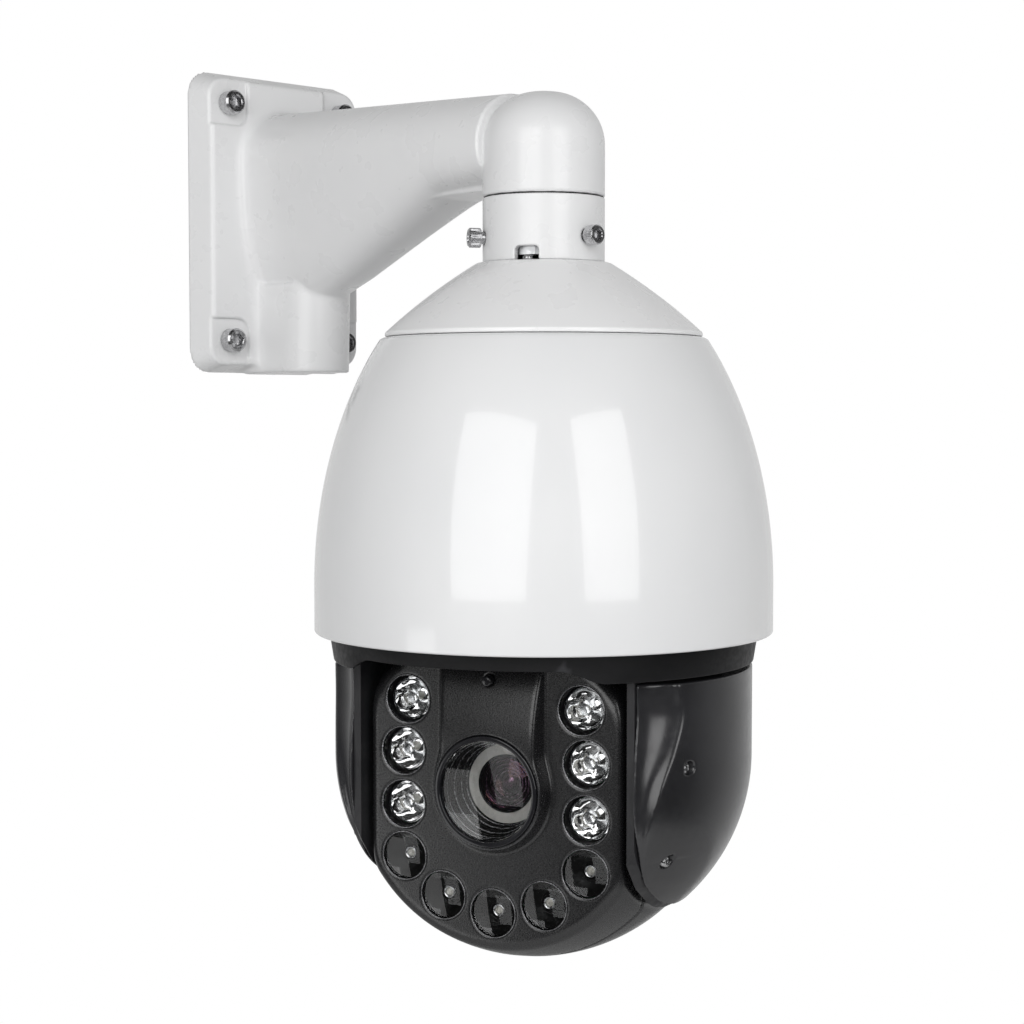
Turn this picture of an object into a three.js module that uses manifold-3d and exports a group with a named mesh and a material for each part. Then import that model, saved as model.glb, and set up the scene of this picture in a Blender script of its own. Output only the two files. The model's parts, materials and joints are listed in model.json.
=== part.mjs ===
// An outdoor pan-tilt-zoom speed dome with infrared lamps, on a cast wall bracket.
// Millimetres, +Z up. The origin is the centre of the wall plate's back face, on the wall y = 0.
// The arm runs along -Y to the pan axis, which is vertical, and z = 0 is the seam at the neck.
import * as THREE from "three";
import { mergeVertices } from "three/addons/utils/BufferGeometryUtils.js";
import Module from "manifold-3d";

const wasm = await Module();
wasm.setup();

// ---------------------------------------------------------------- driving dimensions

const GAP = 0.3; // left between two pieces that touch
const RUN = 1.0; // left between a turning piece and what it passes

// Wall plate and its screws
const PLATE_WIDTH = 112;
const PLATE_HEIGHT = 167;
const PLATE_THICKNESS = 16;
const PLATE_DRAFT = 5.5; // how far the front edge stands in from the back edge
const PLATE_CORNER = 14;
const SCREW_SPACING_X = 77.4;
const SCREW_SPACING_Z = 130.6;
const WALL_SCREW_D = 8;
const POCKET_DEPTH = 2;
const POCKET_MARGIN = 12; // from a screw's axis to the walls of its pocket
const CABLE_MOUTH = 34; // side of the square cable opening in the back

// Arm, elbow and foot
const REACH = 226; // wall to pan axis
const NECK_R = 30;
const ARM_TOP_AT_WALL = 62.5;
const ARM_TOP_AT_NECK = 51.2;
const ARM_SHOULDER_R = 26; // rounding of the arm's top edges and of the elbow
const ARM_WALL = 4;
const ARM_LOW_Z = -43; // underside where it leaves the foot
const ARM_RISE_Z = 4; // underside where it levels out before the neck
const ARM_LEVEL_RUN = 31; // from there to the neck
const FOOT_HALF_WIDTH = 20.5;
const FOOT_REACH = 59;
const FOOT_TOP = -30;
const GUSSET_HALF_WIDTH = 15;
const GUSSET_RUN = 42;

// Neck joint
const GASKET_THICKNESS = 0.6;
const SPIGOT_R = 24;
const SPIGOT_BORE_R = 19;
const SPIGOT_DEPTH = 14; // up into the elbow
const COLLAR_HEIGHT = 32;
const COLLAR_SCREW_D = 6;
const COLLAR_SCREW_DROP = 20; // below the neck seam
const COLLAR_SCREW_STANDOFF = 1.8; // between the collar and the screw's head
const NOTCH_WIDTH = 12;
const NOTCH_HEIGHT = 6.5;
const NOTCH_TURN = -60; // degrees round from the arm's own direction
const EARTH_SCREW_D = 2.6;

// Cap and dome
const CAP_HEIGHT = 36.2;
const CAP_STEP = 1.8; // the cap's rim stands in from the dome's shoulder
const CAP_WALL = 3;
const DOME_R = 113;
const DOME_RISE = 172; // upper half-axis of the dome's ellipse
const DOME_WIDEST_Z = -190;
const DOME_RIM_Z = -212.4;
const DOME_WALL = 3;

// Turning skirt and ears
const HEAD_AZIMUTH = -67.7; // degrees from -Y, where the head looks at rest
const SKIRT_GAP = 4.5;
const SKIRT_WALL = 3;
const SKIRT_TAPER = 2;
const SKIRT_DROP = 13.6; // below the dome's rim
const ARCH_RISE = 6;
const ARCH_HALF_ANGLE = 39;
const EAR_GAP = 2; // between the skirt and the ears
const EAR_STRAIGHT = 44; // length of the ears' upright part
const EAR_ROUND = 98; // lower half-axis of the ears' ellipse
const EAR_WALL = 2.5;
const EAR_FRONT = 62; // half-length of an ear, front to back, at its inner face
const EAR_BAND = 13; // width of the slanted band at an ear's front edge
const ARM_PLATE = 3.7; // thickness of the yoke's side arms
const EAR_SCREW_D = 3.6;
const EAR_SCREW_FORWARD = 44;
const EAR_SCREW_UP = 14.5; // above and below the tilt axis
const EAR_SCREW_DOWN = 29.5;

// Pan drive, inside the dome
const DISC_THICKNESS = 4;
const SPINDLE_R = 19.7;
const SPINDLE_BORE_R = 15;
const SPINDLE_FLANGE_R = 32;
const SLIP_RING_R = 12;
const BEARING_OUTER_R = 30;
const BEARING_HEIGHT = 10;
const RACE_WALL = 4;
const PULLEY_HEIGHT = 7;
const PAN_PULLEY_R = 38;
const MOTOR_PULLEY_R = 7;
const PULLEY_LIP = 2;
const BELT_THICKNESS = 1.2;
const PAN_MOTOR_OFFSET = 70;
const PAN_MOTOR_SIZE = 42;
const PAN_MOTOR_LENGTH = 34;
const MOTOR_SHAFT_R = 2.5;
const CHASSIS_THICKNESS = 3;
const POST_RING_R = 60;
const POST_R = 5;
const BOARD_THICKNESS = 1.6;
const BOARD_R = 67;
const BOARD_HEIGHT = 57; // above the chassis

// Head
const TILT_Z = -282;
const HEAD_R = 90;
const HEAD_NOSE = 110; // front half-axis of the head's ellipsoid
const PANEL_FORWARD = 58.6; // from the tilt axis to the flat front
const HEAD_HALF_WIDTH = 65.6;
const HEAD_WALL = 2.6;
const HEAD_CLEARANCE = 5; // over the head, under the yoke's disc
const SEAM_FORWARD = 32;
const SEAL_THICKNESS = 1;
const SIDE_CLEARANCE = 3.4; // between the head and the yoke's arms

// Tilt drive, inside the right ear
const TILT_SHAFT_R = 6;
const BUSH_WALL = 4;
const TILT_PULLEY_R = 18;
const TILT_MOTOR_R = 18;
const TILT_MOTOR_LENGTH = 11.5;
const TILT_MOTOR_RISE = 31.5; // above the tilt axis

// Lamps and camera, measured from the tilt axis in the head's front
const LAMP_HOLE_R = 11.5;
const LAMP_COLUMN = 47.5;
const LAMP_TOP_COLUMN = 45;
const LAMP_ROWS = [40, 14.9, -10.9];
const LOW_LAMP_RING_R = 59.3;
const LOW_LAMP_STEP = 26.3; // degrees between the low lamps
const LAMP_BOARD_FORWARD = 40;
const HOOD_R = 27.6;
const HOOD_FOOT = 2.6; // how much wider the hood is at its foot
const HOOD_FORWARD = 8.4; // how far it stands out of the panel
const HOOD_SIDE_STEP = 3.3; // how far its upright sides stand in from its round part
const HOOD_TOP = 60;
const RING_WALL = 2.4;
const WINDOW_THICKNESS = 2;
const SENSOR_UP = 52;
const SENSOR_R = 2.4;
const BAFFLE_DEPTH = 17;
const BAFFLE_FLOOR_R = 11.3;
const LENS_R = 11;
const BLOCK_SIZE = 50;
const BLOCK_BORE_R = 17;
const BLOCK_BACK = -14;
const ZOOM_TRAVEL = 12;
const FOCUS_TRAVEL = 6;
const FILTER_TRAVEL = 13;
const FILTER_SIZE = 12;

// How finely round pieces are faceted
const FINE = 40;
const MEDIUM = 20;
const COARSE = 12;

// ---------------------------------------------------------------- derived levels

const SKIRT_R = DOME_R - DOME_WALL - SKIRT_GAP;
const SKIRT_Z = DOME_RIM_Z - SKIRT_DROP;
const EAR_R = SKIRT_R - SKIRT_TAPER - 0.5;
const EAR_TOP = SKIRT_Z - EAR_GAP;
const EAR_BEND = EAR_TOP - EAR_STRAIGHT;
const CAP_TOP = -COLLAR_HEIGHT;
const CAP_SEAM = CAP_TOP - CAP_HEIGHT;
const DISC_BOTTOM = TILT_Z + HEAD_R + HEAD_CLEARANCE;
const DISC_TOP = DISC_BOTTOM + DISC_THICKNESS;
const FLANGE_TOP = DISC_TOP + GAP + CHASSIS_THICKNESS;
const PULLEY_BOTTOM = FLANGE_TOP + GAP;
const PULLEY_TOP = PULLEY_BOTTOM + PULLEY_HEIGHT;
const CHASSIS_BOTTOM = PULLEY_TOP + 2 * RUN;
const CHASSIS_TOP = CHASSIS_BOTTOM + CHASSIS_THICKNESS;
const BEARING_BOTTOM = CHASSIS_BOTTOM + RUN + GAP;
const BEARING_TOP = BEARING_BOTTOM + BEARING_HEIGHT;
const HUB_TOP = BEARING_TOP + 4.5;
const BOARD_Z = CHASSIS_TOP + BOARD_HEIGHT;
const ARM_IN = HEAD_HALF_WIDTH + SIDE_CLEARANCE;
const ARM_OUT = ARM_IN + ARM_PLATE;
const EAR_IN = ARM_OUT + GAP;
const HOOD_FRONT = PANEL_FORWARD + HOOD_FORWARD;
const RING_R = HOOD_R - 1.4;
const HOOD_NECK = HOOD_R - HOOD_SIDE_STEP;

function domeRadius(z, inset = 0) {
  const rise = Math.max(0, z - DOME_WIDEST_Z) / (DOME_RISE - inset);
  return (DOME_R - inset) * Math.sqrt(1 - rise * rise);
}

function earRadius(z, inset = 0) {
  const drop = Math.max(0, EAR_BEND - z) / (EAR_ROUND - inset);
  return (EAR_R - inset) * Math.sqrt(Math.max(0, 1 - drop * drop));
}

function headRadius(forward, inset = 0) {
  const half = (forward > 0 ? HEAD_NOSE : HEAD_R) - inset;
  return (HEAD_R - inset) * Math.sqrt(Math.max(0, 1 - (forward / half) ** 2));
}

const CAP_R = domeRadius(CAP_SEAM) - CAP_STEP;

// ---------------------------------------------------------------- shape helpers

function bodyOf(vertProperties, triVerts) {
  return new wasm.Manifold(new wasm.Mesh({ numProp: 3, vertProperties, triVerts }));
}

// A closed geometry as a solid for joining and cutting, with its faces turned outwards.
function solid(geometry) {
  const bare = geometry.clone();
  bare.deleteAttribute("normal");
  bare.deleteAttribute("uv");
  const merged = mergeVertices(bare, 1e-4);
  const points = merged.attributes.position.array;
  const faces = new Uint32Array(merged.index.array);
  const body = bodyOf(points, faces);
  return body.volume() < 0 ? bodyOf(points, faces.slice().reverse()) : body;
}

function geometryOf(body) {
  const mesh = body.getMesh();
  const geometry = new THREE.BufferGeometry();
  geometry.setAttribute("position", new THREE.BufferAttribute(mesh.vertProperties, 3));
  geometry.setIndex(new THREE.BufferAttribute(mesh.triVerts, 1));
  const flat = geometry.toNonIndexed();
  flat.computeVertexNormals();
  return flat;
}

const join = (first, ...others) => others.reduce((sum, next) => sum.add(next), first);
const cut = (first, ...others) => others.reduce((rest, next) => rest.subtract(next), first);

// A body turned about +Z from a profile of [radius, height] points.
function turned(profile, sides) {
  const points = profile.map(([radius, height]) => new THREE.Vector2(radius, height));
  return new THREE.LatheGeometry(points, sides).rotateX(Math.PI / 2);
}

// A ring turned about +Z between two radii and two heights.
function ring(inner, outer, low, high, sides) {
  const profile = [[inner, low], [outer, low], [outer, high], [inner, high], [inner, low]];
  return turned(profile, sides);
}

function rod(radius, low, high, sides) {
  return turned([[0, low], [radius, low], [radius, high], [0, high]], sides);
}

function block(width, depth, height, x, y, z) {
  return new THREE.BoxGeometry(width, depth, height).translate(x, y, z);
}

// Profile points on an arc of an ellipse, angles in degrees from the +radius direction.
function arc(centre, height, halfWidth, halfHeight, from, to, steps) {
  return Array.from({ length: steps + 1 }, (_, i) => {
    const angle = THREE.MathUtils.degToRad(from + ((to - from) * i) / steps);
    return [centre + halfWidth * Math.cos(angle), height + halfHeight * Math.sin(angle)];
  });
}

// Heights shared out evenly between two levels, with the radius that a formula gives there.
function profileAlong(formula, from, to, steps) {
  return Array.from({ length: steps + 1 }, (_, i) => {
    const level = from + ((to - from) * i) / steps;
    return [formula(level), level];
  });
}

// Skins a row of rings of points, each with the same count, and closes both ends.
function loft(rings) {
  const count = rings[0].length;
  const index = [];
  const last = (rings.length - 1) * count;
  for (let row = 0; row < last; row += count) {
    for (let i = 0; i < count; i++) {
      const a = row + i;
      const b = row + ((i + 1) % count);
      index.push(a, b, a + count, b, b + count, a + count);
    }
  }
  for (let i = 1; i + 1 < count; i++) {
    index.push(0, i + 1, i);
    index.push(last, last + i, last + i + 1);
  }
  return new THREE.BufferGeometry().setFromPoints(rings.flat()).setIndex(index);
}

function roundedRectangle(halfWidth, halfHeight, radius) {
  const shape = new THREE.Shape();
  shape.absarc(halfWidth - radius, halfHeight - radius, radius, 0, Math.PI / 2);
  shape.absarc(radius - halfWidth, halfHeight - radius, radius, Math.PI / 2, Math.PI);
  shape.absarc(radius - halfWidth, radius - halfHeight, radius, Math.PI, 1.5 * Math.PI);
  shape.absarc(halfWidth - radius, radius - halfHeight, radius, 1.5 * Math.PI, 2 * Math.PI);
  return shape;
}

// A flat outline given some depth, from the level start upwards.
function slab(shape, start, depth, curveSegments = 6) {
  const settings = { depth, bevelEnabled: false, curveSegments };
  return new THREE.ExtrudeGeometry(shape, settings).translate(0, 0, start);
}

function polygon(points) {
  return new THREE.Shape(points.map(([x, y]) => new THREE.Vector2(x, y)));
}

// The cylinder round a screw, a shaft or a pulley stands on +Z. These turn it to another axis.
const alongY = (geometry) => geometry.rotateX(Math.PI / 2); // +Z becomes -Y
const alongX = (geometry) => geometry.rotateY(Math.PI / 2); // +Z becomes +X

// A socket head screw: its head stands above z = 0 and its shank goes down from there.
function capScrew(diameter, length) {
  const headR = 0.8 * diameter;
  const body = turned([
    [0, -length],
    [diameter / 2, -length],
    [diameter / 2, 0],
    [headR, 0],
    [headR, diameter],
    [0, diameter],
  ], COARSE);
  const socket = rod(0.48 * diameter, 0.45 * diameter, diameter + 1, 6);
  return geometryOf(cut(solid(body), solid(socket)));
}

function finish(color, roughness, metalness = 0) {
  return () => new THREE.MeshStandardMaterial({ color, roughness, metalness });
}

const whitePaint = finish(0xe9eaea, 0.3);
const whiteShell = finish(0xf4f5f5, 0.12);
const blackSatin = finish(0x17171a, 0.42);
const blackGloss = finish(0x101013, 0.2);
const blackRubber = finish(0x0d0d0e, 0.8);
const steel = finish(0xb9bbbd, 0.25, 1);
const aluminium = finish(0xc3c6c9, 0.4, 1);
const motorBlack = finish(0x222326, 0.5, 0.4);
const boardGreen = finish(0x1d5a3a, 0.5);
const clearGlass = finish(0xdfe6ea, 0.05);
const coatedGlass = finish(0x5a2744, 0.05);
const whitePlastic = finish(0xe6e4dc, 0.4);

const camera = new THREE.Group();
const neck = new THREE.Group(); // on the pan axis, at the neck seam
neck.position.y = -REACH;
const yoke = new THREE.Group(); // turned with the head, -Y to its front
yoke.rotation.z = THREE.MathUtils.degToRad(HEAD_AZIMUTH);
const head = new THREE.Group(); // at the tilt axis: +X to the right, +Y up, +Z forward
head.position.z = TILT_Z;
head.rotation.x = Math.PI / 2;
camera.add(neck);
neck.add(yoke);
yoke.add(head);

function place(parent, name, shape, material, x = 0, y = 0, z = 0) {
  const mesh = new THREE.Mesh(shape.isBufferGeometry ? shape : geometryOf(shape), material());
  mesh.name = name;
  mesh.position.set(x, y, z);
  parent.add(mesh);
  return mesh;
}

// ---------------------------------------------------------------- wall bracket

const screwPlaces = [
  [-SCREW_SPACING_X / 2, SCREW_SPACING_Z / 2],
  [SCREW_SPACING_X / 2, SCREW_SPACING_Z / 2],
  [-SCREW_SPACING_X / 2, -SCREW_SPACING_Z / 2],
  [SCREW_SPACING_X / 2, -SCREW_SPACING_Z / 2],
];

function plateOutline(draft, y) {
  const halfWidth = PLATE_WIDTH / 2 - draft;
  const halfHeight = PLATE_HEIGHT / 2 - draft;
  const shape = roundedRectangle(halfWidth, halfHeight, PLATE_CORNER - draft / 2);
  return shape.getPoints(5).map((p) => new THREE.Vector3(p.x, -y, p.y));
}

// Height of the arm's top and of its underside at a distance from the wall.
const armTop = (out) => THREE.MathUtils.lerp(ARM_TOP_AT_WALL, ARM_TOP_AT_NECK, out / REACH);
const levelStart = REACH - NECK_R - ARM_LEVEL_RUN;

function armBottom(out) {
  const climb = (ARM_RISE_Z - ARM_LOW_Z) / (levelStart - FOOT_REACH);
  if (out < FOOT_REACH) return ARM_LOW_Z;
  if (out < levelStart) return ARM_LOW_Z + climb * (out - FOOT_REACH);
  return ARM_RISE_Z + 0.25 * climb * (out - levelStart);
}

// The arm's cross-section: rounded top edges, and a belly that narrows towards its underside.
function armSection(out, inset) {
  const halfWidth = NECK_R - inset;
  const radius = ARM_SHOULDER_R - inset;
  const middle = armTop(out) - ARM_SHOULDER_R;
  const depth = middle - armBottom(out) - inset;
  const belly = 2 / 2.5; // exponent of the belly's superellipse
  const right = arc(halfWidth - radius, middle, radius, radius, 90, 0, 4);
  const left = arc(radius - halfWidth, middle, radius, radius, 180, 90, 4);
  const under = arc(0, 0, 1, 1, 0, -180, 12).slice(1, -1).map(([c, s]) => [
    Math.sign(c) * halfWidth * Math.abs(c) ** belly,
    middle - depth * Math.abs(s) ** belly,
  ]);
  return [...right, ...under, ...left].map(([x, z]) => new THREE.Vector3(x, -out, z));
}

function armBody(from, inset) {
  const stops = [from, FOOT_REACH, THREE.MathUtils.lerp(FOOT_REACH, levelStart, 0.5), levelStart];
  const ends = [REACH - NECK_R, REACH - RUN];
  return solid(loft([...stops, ...ends].map((out) => armSection(out, inset))));
}

function elbowBody(low, inset) {
  const radius = ARM_SHOULDER_R - inset;
  const top = ARM_TOP_AT_NECK - ARM_SHOULDER_R;
  const rounding = arc(NECK_R - ARM_SHOULDER_R, top, radius, radius, 0, 90, 5);
  const profile = [[0, low], [NECK_R - inset, low], ...rounding, [0, top + radius]];
  return solid(turned(profile, MEDIUM + COARSE).translate(0, -REACH, 0));
}

function footBody(inset) {
  const halfWidth = FOOT_HALF_WIDTH - inset;
  const middle = FOOT_REACH - FOOT_HALF_WIDTH;
  const shape = new THREE.Shape();
  shape.moveTo(-halfWidth, -PLATE_THICKNESS / 2);
  shape.lineTo(-halfWidth, -middle);
  shape.absarc(0, -middle, halfWidth, Math.PI, 2 * Math.PI);
  shape.lineTo(halfWidth, -PLATE_THICKNESS / 2);
  const low = inset - PLATE_HEIGHT / 2;
  return solid(slab(shape, low, FOOT_TOP - low, 12));
}

// The web under the elbow's inner corner, with a three-sided pocket in its left side.
function gussetBody() {
  const low = ARM_RISE_Z + GAP;
  const inner = REACH - NECK_R + ARM_WALL;
  const web = polygon([[inner, low], [inner, low + 22], [inner - GUSSET_RUN, low]]);
  const pocket = polygon([
    [REACH - NECK_R - 1, low + 3],
    [REACH - NECK_R - 1, low + 9],
    [REACH - NECK_R - 12, low + 3],
  ]);
  // The outlines hold distance from the wall and height, and stand up along X.
  const upright = (geometry) => geometry.rotateX(Math.PI / 2).rotateZ(-Math.PI / 2);
  const body = upright(slab(web, -GUSSET_HALF_WIDTH, 2 * GUSSET_HALF_WIDTH));
  const hole = upright(slab(pocket, GUSSET_HALF_WIDTH - 6, 8));
  return { body: solid(body), hole: solid(hole) };
}

function wallBracket() {
  const plate = solid(loft([plateOutline(0, 0), plateOutline(PLATE_DRAFT, PLATE_THICKNESS)]));
  const gusset = gussetBody();
  const floor = GASKET_THICKNESS / 2 + GAP;
  const outside = join(
    plate,
    armBody(PLATE_THICKNESS / 2, 0),
    elbowBody(floor, 0),
    footBody(0),
    gusset.body,
  );
  const backWall = PLATE_THICKNESS / 2;
  const seat = floor + SPIGOT_DEPTH + RUN;
  const bore = rod(SPIGOT_R + GAP, floor - 1, seat + 1, MEDIUM).translate(0, -REACH, 0);
  const mouthZ = armTop(0) - ARM_SHOULDER_R;
  const hollow = [
    armBody(backWall, ARM_WALL),
    elbowBody(seat, ARM_WALL),
    solid(bore),
    solid(block(CABLE_MOUTH, 4 * backWall, CABLE_MOUTH, 0, 0, mouthZ)),
  ];
  const holes = screwPlaces.flatMap(([x, z]) => {
    const hole = alongY(rod(WALL_SCREW_D / 2 + 0.5, -1, PLATE_THICKNESS + 1, COARSE));
    const half = [PLATE_WIDTH / 2, PLATE_HEIGHT / 2];
    const inner = [Math.abs(x) - POCKET_MARGIN, Math.abs(z) - POCKET_MARGIN];
    const size = [half[0] - inner[0] + 2, half[1] - inner[1] + 2];
    const outline = roundedRectangle(size[0] / 2, size[1] / 2, 7);
    const pocket = alongY(slab(outline, PLATE_THICKNESS - POCKET_DEPTH, 2 * POCKET_DEPTH, 4));
    const pocketX = Math.sign(x) * (inner[0] + size[0] / 2);
    const pocketZ = Math.sign(z) * (inner[1] + size[1] / 2);
    return [
      solid(hole.translate(x, 0, z)),
      solid(pocket.translate(pocketX, 0, pocketZ)).subtract(outside.subtract(plate)),
    ];
  });
  return cut(outside, gusset.hole, ...hollow, ...holes);
}

place(camera, "wall_bracket", wallBracket(), whitePaint);

const padFace = PLATE_THICKNESS - POCKET_DEPTH + GAP;
screwPlaces.forEach(([x, z], i) => {
  const screw = alongY(capScrew(WALL_SCREW_D, padFace - GAP));
  place(camera, `wall_screw_${i + 1}`, screw, steel, x, -padFace, z);
});

// ---------------------------------------------------------------- neck joint

const seamHalf = GASKET_THICKNESS / 2;
const gasket = ring(SPIGOT_R + GAP, NECK_R - 0.6, -seamHalf, seamHalf, MEDIUM);
place(neck, "neck_gasket", gasket, blackRubber);

const spigotTop = seamHalf + GAP + SPIGOT_DEPTH;
const spigotLow = CAP_TOP + 3;
const spigot = ring(SPIGOT_BORE_R, SPIGOT_R, spigotLow, spigotTop, MEDIUM);
place(neck, "neck_spigot", spigot, aluminium);

// A direction round the pan axis, in degrees from the arm's own direction.
const turnedTo = (geometry, degrees) => geometry.rotateZ(THREE.MathUtils.degToRad(degrees));
const collarTurns = [0, 120, 240];

function neckCollar() {
  const top = -seamHalf - GAP;
  const low = CAP_TOP + GAP;
  const tube = solid(ring(SPIGOT_R + GAP, NECK_R, low, top, MEDIUM + COARSE));
  const holes = collarTurns.map((degrees) => {
    const hole = alongY(rod(COLLAR_SCREW_D / 2 + GAP, SPIGOT_R - 2, NECK_R + 2, COARSE));
    return solid(turnedTo(hole.translate(0, 0, -COLLAR_SCREW_DROP), degrees));
  });
  const outline = roundedRectangle(NOTCH_WIDTH / 2, NOTCH_HEIGHT, 2);
  const notch = alongY(slab(outline, SPIGOT_R - 2, NECK_R, 4));
  return cut(tube, ...holes, solid(turnedTo(notch.translate(0, 0, low), NOTCH_TURN)));
}

place(neck, "neck_collar", neckCollar(), whitePaint);

collarTurns.forEach((degrees, i) => {
  const head = NECK_R + COLLAR_SCREW_STANDOFF;
  const screw = alongY(capScrew(COLLAR_SCREW_D, head - SPIGOT_R - GAP));
  const placed = turnedTo(screw.translate(0, -head, -COLLAR_SCREW_DROP), degrees);
  place(neck, `collar_screw_${i + 1}`, placed, steel);
});

const earthScrewR = (NECK_R + SPIGOT_R) / 2;

function earthScrew() {
  const shank = EARTH_SCREW_D / 2;
  const profile = [[0, -2], [shank, -2], [shank, GAP], [2 * shank, GAP], [2 * shank, 1.6]];
  return turned([...profile, [1.2 * shank, 2.6], [0, 2.6]], COARSE);
}

const screwOnCap = turnedTo(earthScrew().translate(0, -earthScrewR, CAP_TOP), NOTCH_TURN);
place(neck, "earth_screw", screwOnCap, steel);

// ---------------------------------------------------------------- cap and dome

function topCap() {
  const shoulder = NECK_R + 3;
  const cone = new THREE.QuadraticBezierCurve(
    new THREE.Vector2(shoulder, CAP_TOP),
    new THREE.Vector2((shoulder + CAP_R) / 2 + 2, CAP_TOP - CAP_HEIGHT / 2 + 3),
    new THREE.Vector2(CAP_R - 1, CAP_SEAM + 3),
  ).getPoints(4).map((p) => [p.x, p.y]);
  const low = CAP_SEAM + GAP / 2;
  const outside = [[SPIGOT_BORE_R, CAP_TOP], ...cone, [CAP_R, CAP_SEAM + 2], [CAP_R, low]];
  const ledgeR = POST_RING_R - POST_R - 3;
  const inside = [
    [ledgeR, low],
    [ledgeR, low + CAP_WALL],
    [CAP_R - 2 * CAP_WALL, low + CAP_WALL],
    [shoulder - CAP_WALL, CAP_TOP - CAP_WALL],
    [SPIGOT_BORE_R, CAP_TOP - CAP_WALL],
  ];
  const shell = solid(turned([...outside, ...inside, outside[0]], FINE));
  const hole = rod(EARTH_SCREW_D / 2 + GAP, -2 - GAP, 1, COARSE);
  return cut(shell, solid(turnedTo(hole.translate(0, -earthScrewR, CAP_TOP), NOTCH_TURN)));
}

place(neck, "top_cap", topCap(), whitePaint);

function domeShell() {
  const top = CAP_SEAM - GAP / 2;
  const mouth = CAP_R - 5;
  const outer = profileAlong((z) => domeRadius(z), DOME_WIDEST_Z, top - 1, 7);
  const inner = profileAlong((z) => domeRadius(z, DOME_WALL), top - DOME_WALL, DOME_WIDEST_Z, 4);
  return turned([
    [DOME_R - DOME_WALL, DOME_RIM_Z],
    [DOME_R - 0.8, DOME_RIM_Z],
    [DOME_R, DOME_RIM_Z + 0.8],
    ...outer,
    [CAP_R + 0.5, top],
    [mouth, top],
    [mouth, top - DOME_WALL],
    ...inner,
    [DOME_R - DOME_WALL, DOME_RIM_Z],
  ], FINE);
}

place(neck, "dome_shell", domeShell(), whiteShell);

// ---------------------------------------------------------------- fixed works in the dome

const postPlaces = [30, 150, 270].map((degrees) => {
  const angle = THREE.MathUtils.degToRad(degrees);
  return [POST_RING_R * Math.cos(angle), POST_RING_R * Math.sin(angle)];
});
const upperPostR = POST_R - 1.5;

function chassisPlate() {
  const rimR = domeRadius(CHASSIS_TOP, DOME_WALL) - 2 * GAP;
  const plate = solid(rod(rimR, CHASSIS_BOTTOM, CHASSIS_TOP, FINE));
  const hub = solid(rod(BEARING_OUTER_R + GAP + 4, CHASSIS_TOP - 1, HUB_TOP, MEDIUM));
  const posts = postPlaces.map(([x, y]) => solid(turned([
    [0, CHASSIS_TOP - 1],
    [POST_R, CHASSIS_TOP - 1],
    [POST_R, BOARD_Z - GAP],
    [upperPostR, BOARD_Z - GAP],
    [upperPostR, CAP_SEAM - GAP],
    [0, CAP_SEAM - GAP],
  ], COARSE).translate(x, y, 0)));
  const seat = rod(BEARING_OUTER_R + GAP, BEARING_BOTTOM - GAP, HUB_TOP + 1, MEDIUM);
  const lipHole = rod(BEARING_OUTER_R - RACE_WALL + 1, CHASSIS_BOTTOM - 1, HUB_TOP, MEDIUM);
  const motorHole = rod(MOTOR_PULLEY_R + PULLEY_LIP + RUN, CHASSIS_BOTTOM - 1, CHASSIS_TOP + 1, COARSE);
  return cut(
    join(plate, hub, ...posts),
    solid(seat),
    solid(lipHole),
    solid(motorHole.translate(0, PAN_MOTOR_OFFSET, 0)),
  );
}

place(neck, "chassis_plate", chassisPlate(), aluminium);

function mainBoard() {
  const top = BOARD_Z + BOARD_THICKNESS;
  const disc = solid(rod(BOARD_R, BOARD_Z, top, MEDIUM));
  const parts = [
    block(24, 24, 4, -22, 24, top + 1.5),
    block(16, 10, 11, 32, -18, top + 5),
    block(14, 20, 8, -34, -14, top + 3.5),
    block(22, 8, 10, 14, 46, top + 4.5),
  ].map(solid);
  const holes = postPlaces.map(([x, y]) => {
    return solid(rod(upperPostR + GAP, BOARD_Z - 1, top + 1, COARSE).translate(x, y, 0));
  });
  const cableHole = solid(rod(SPIGOT_BORE_R - 5, BOARD_Z - 1, top + 1, COARSE));
  return cut(join(disc, ...parts), cableHole, ...holes);
}

place(neck, "main_board", mainBoard(), boardGreen);

function panMotor() {
  const low = CHASSIS_TOP + GAP;
  const half = PAN_MOTOR_SIZE / 2;
  const outline = roundedRectangle(half, half, 5);
  const body = solid(slab(outline, low, PAN_MOTOR_LENGTH, 2));
  return body.subtract(solid(rod(MOTOR_SHAFT_R + GAP, low - 1, low + 10, COARSE)));
}

place(neck, "pan_motor", panMotor(), motorBlack, 0, PAN_MOTOR_OFFSET, 0);

const outerRaceBore = BEARING_OUTER_R - RACE_WALL + 0.5;
const outerRace = ring(outerRaceBore, BEARING_OUTER_R, BEARING_BOTTOM, BEARING_TOP, MEDIUM);
place(neck, "pan_bearing_outer", outerRace, steel);

const slipFlangeZ = HUB_TOP + GAP;
const slipRing = turned([
  [0, DISC_TOP + 2],
  [SLIP_RING_R, DISC_TOP + 2],
  [SLIP_RING_R, slipFlangeZ],
  [BEARING_OUTER_R + 4, slipFlangeZ],
  [BEARING_OUTER_R + 4, slipFlangeZ + 2.5],
  [0, slipFlangeZ + 2.5],
], MEDIUM);
place(neck, "slip_ring", slipRing, blackGloss);

// A pulley with lips that keep the belt on, turned about +Z.
function pulley(boreR, beltR, low) {
  const high = low + PULLEY_HEIGHT;
  const lipR = beltR + PULLEY_LIP;
  const profile = [
    [boreR, low],
    [lipR, low],
    [lipR, low + 0.8],
    [beltR, low + 0.8],
    [beltR, high - 0.8],
    [lipR, high - 0.8],
    [lipR, high],
    [boreR, high],
  ];
  return boreR > 0 ? [...profile, profile[0]] : profile;
}

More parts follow.
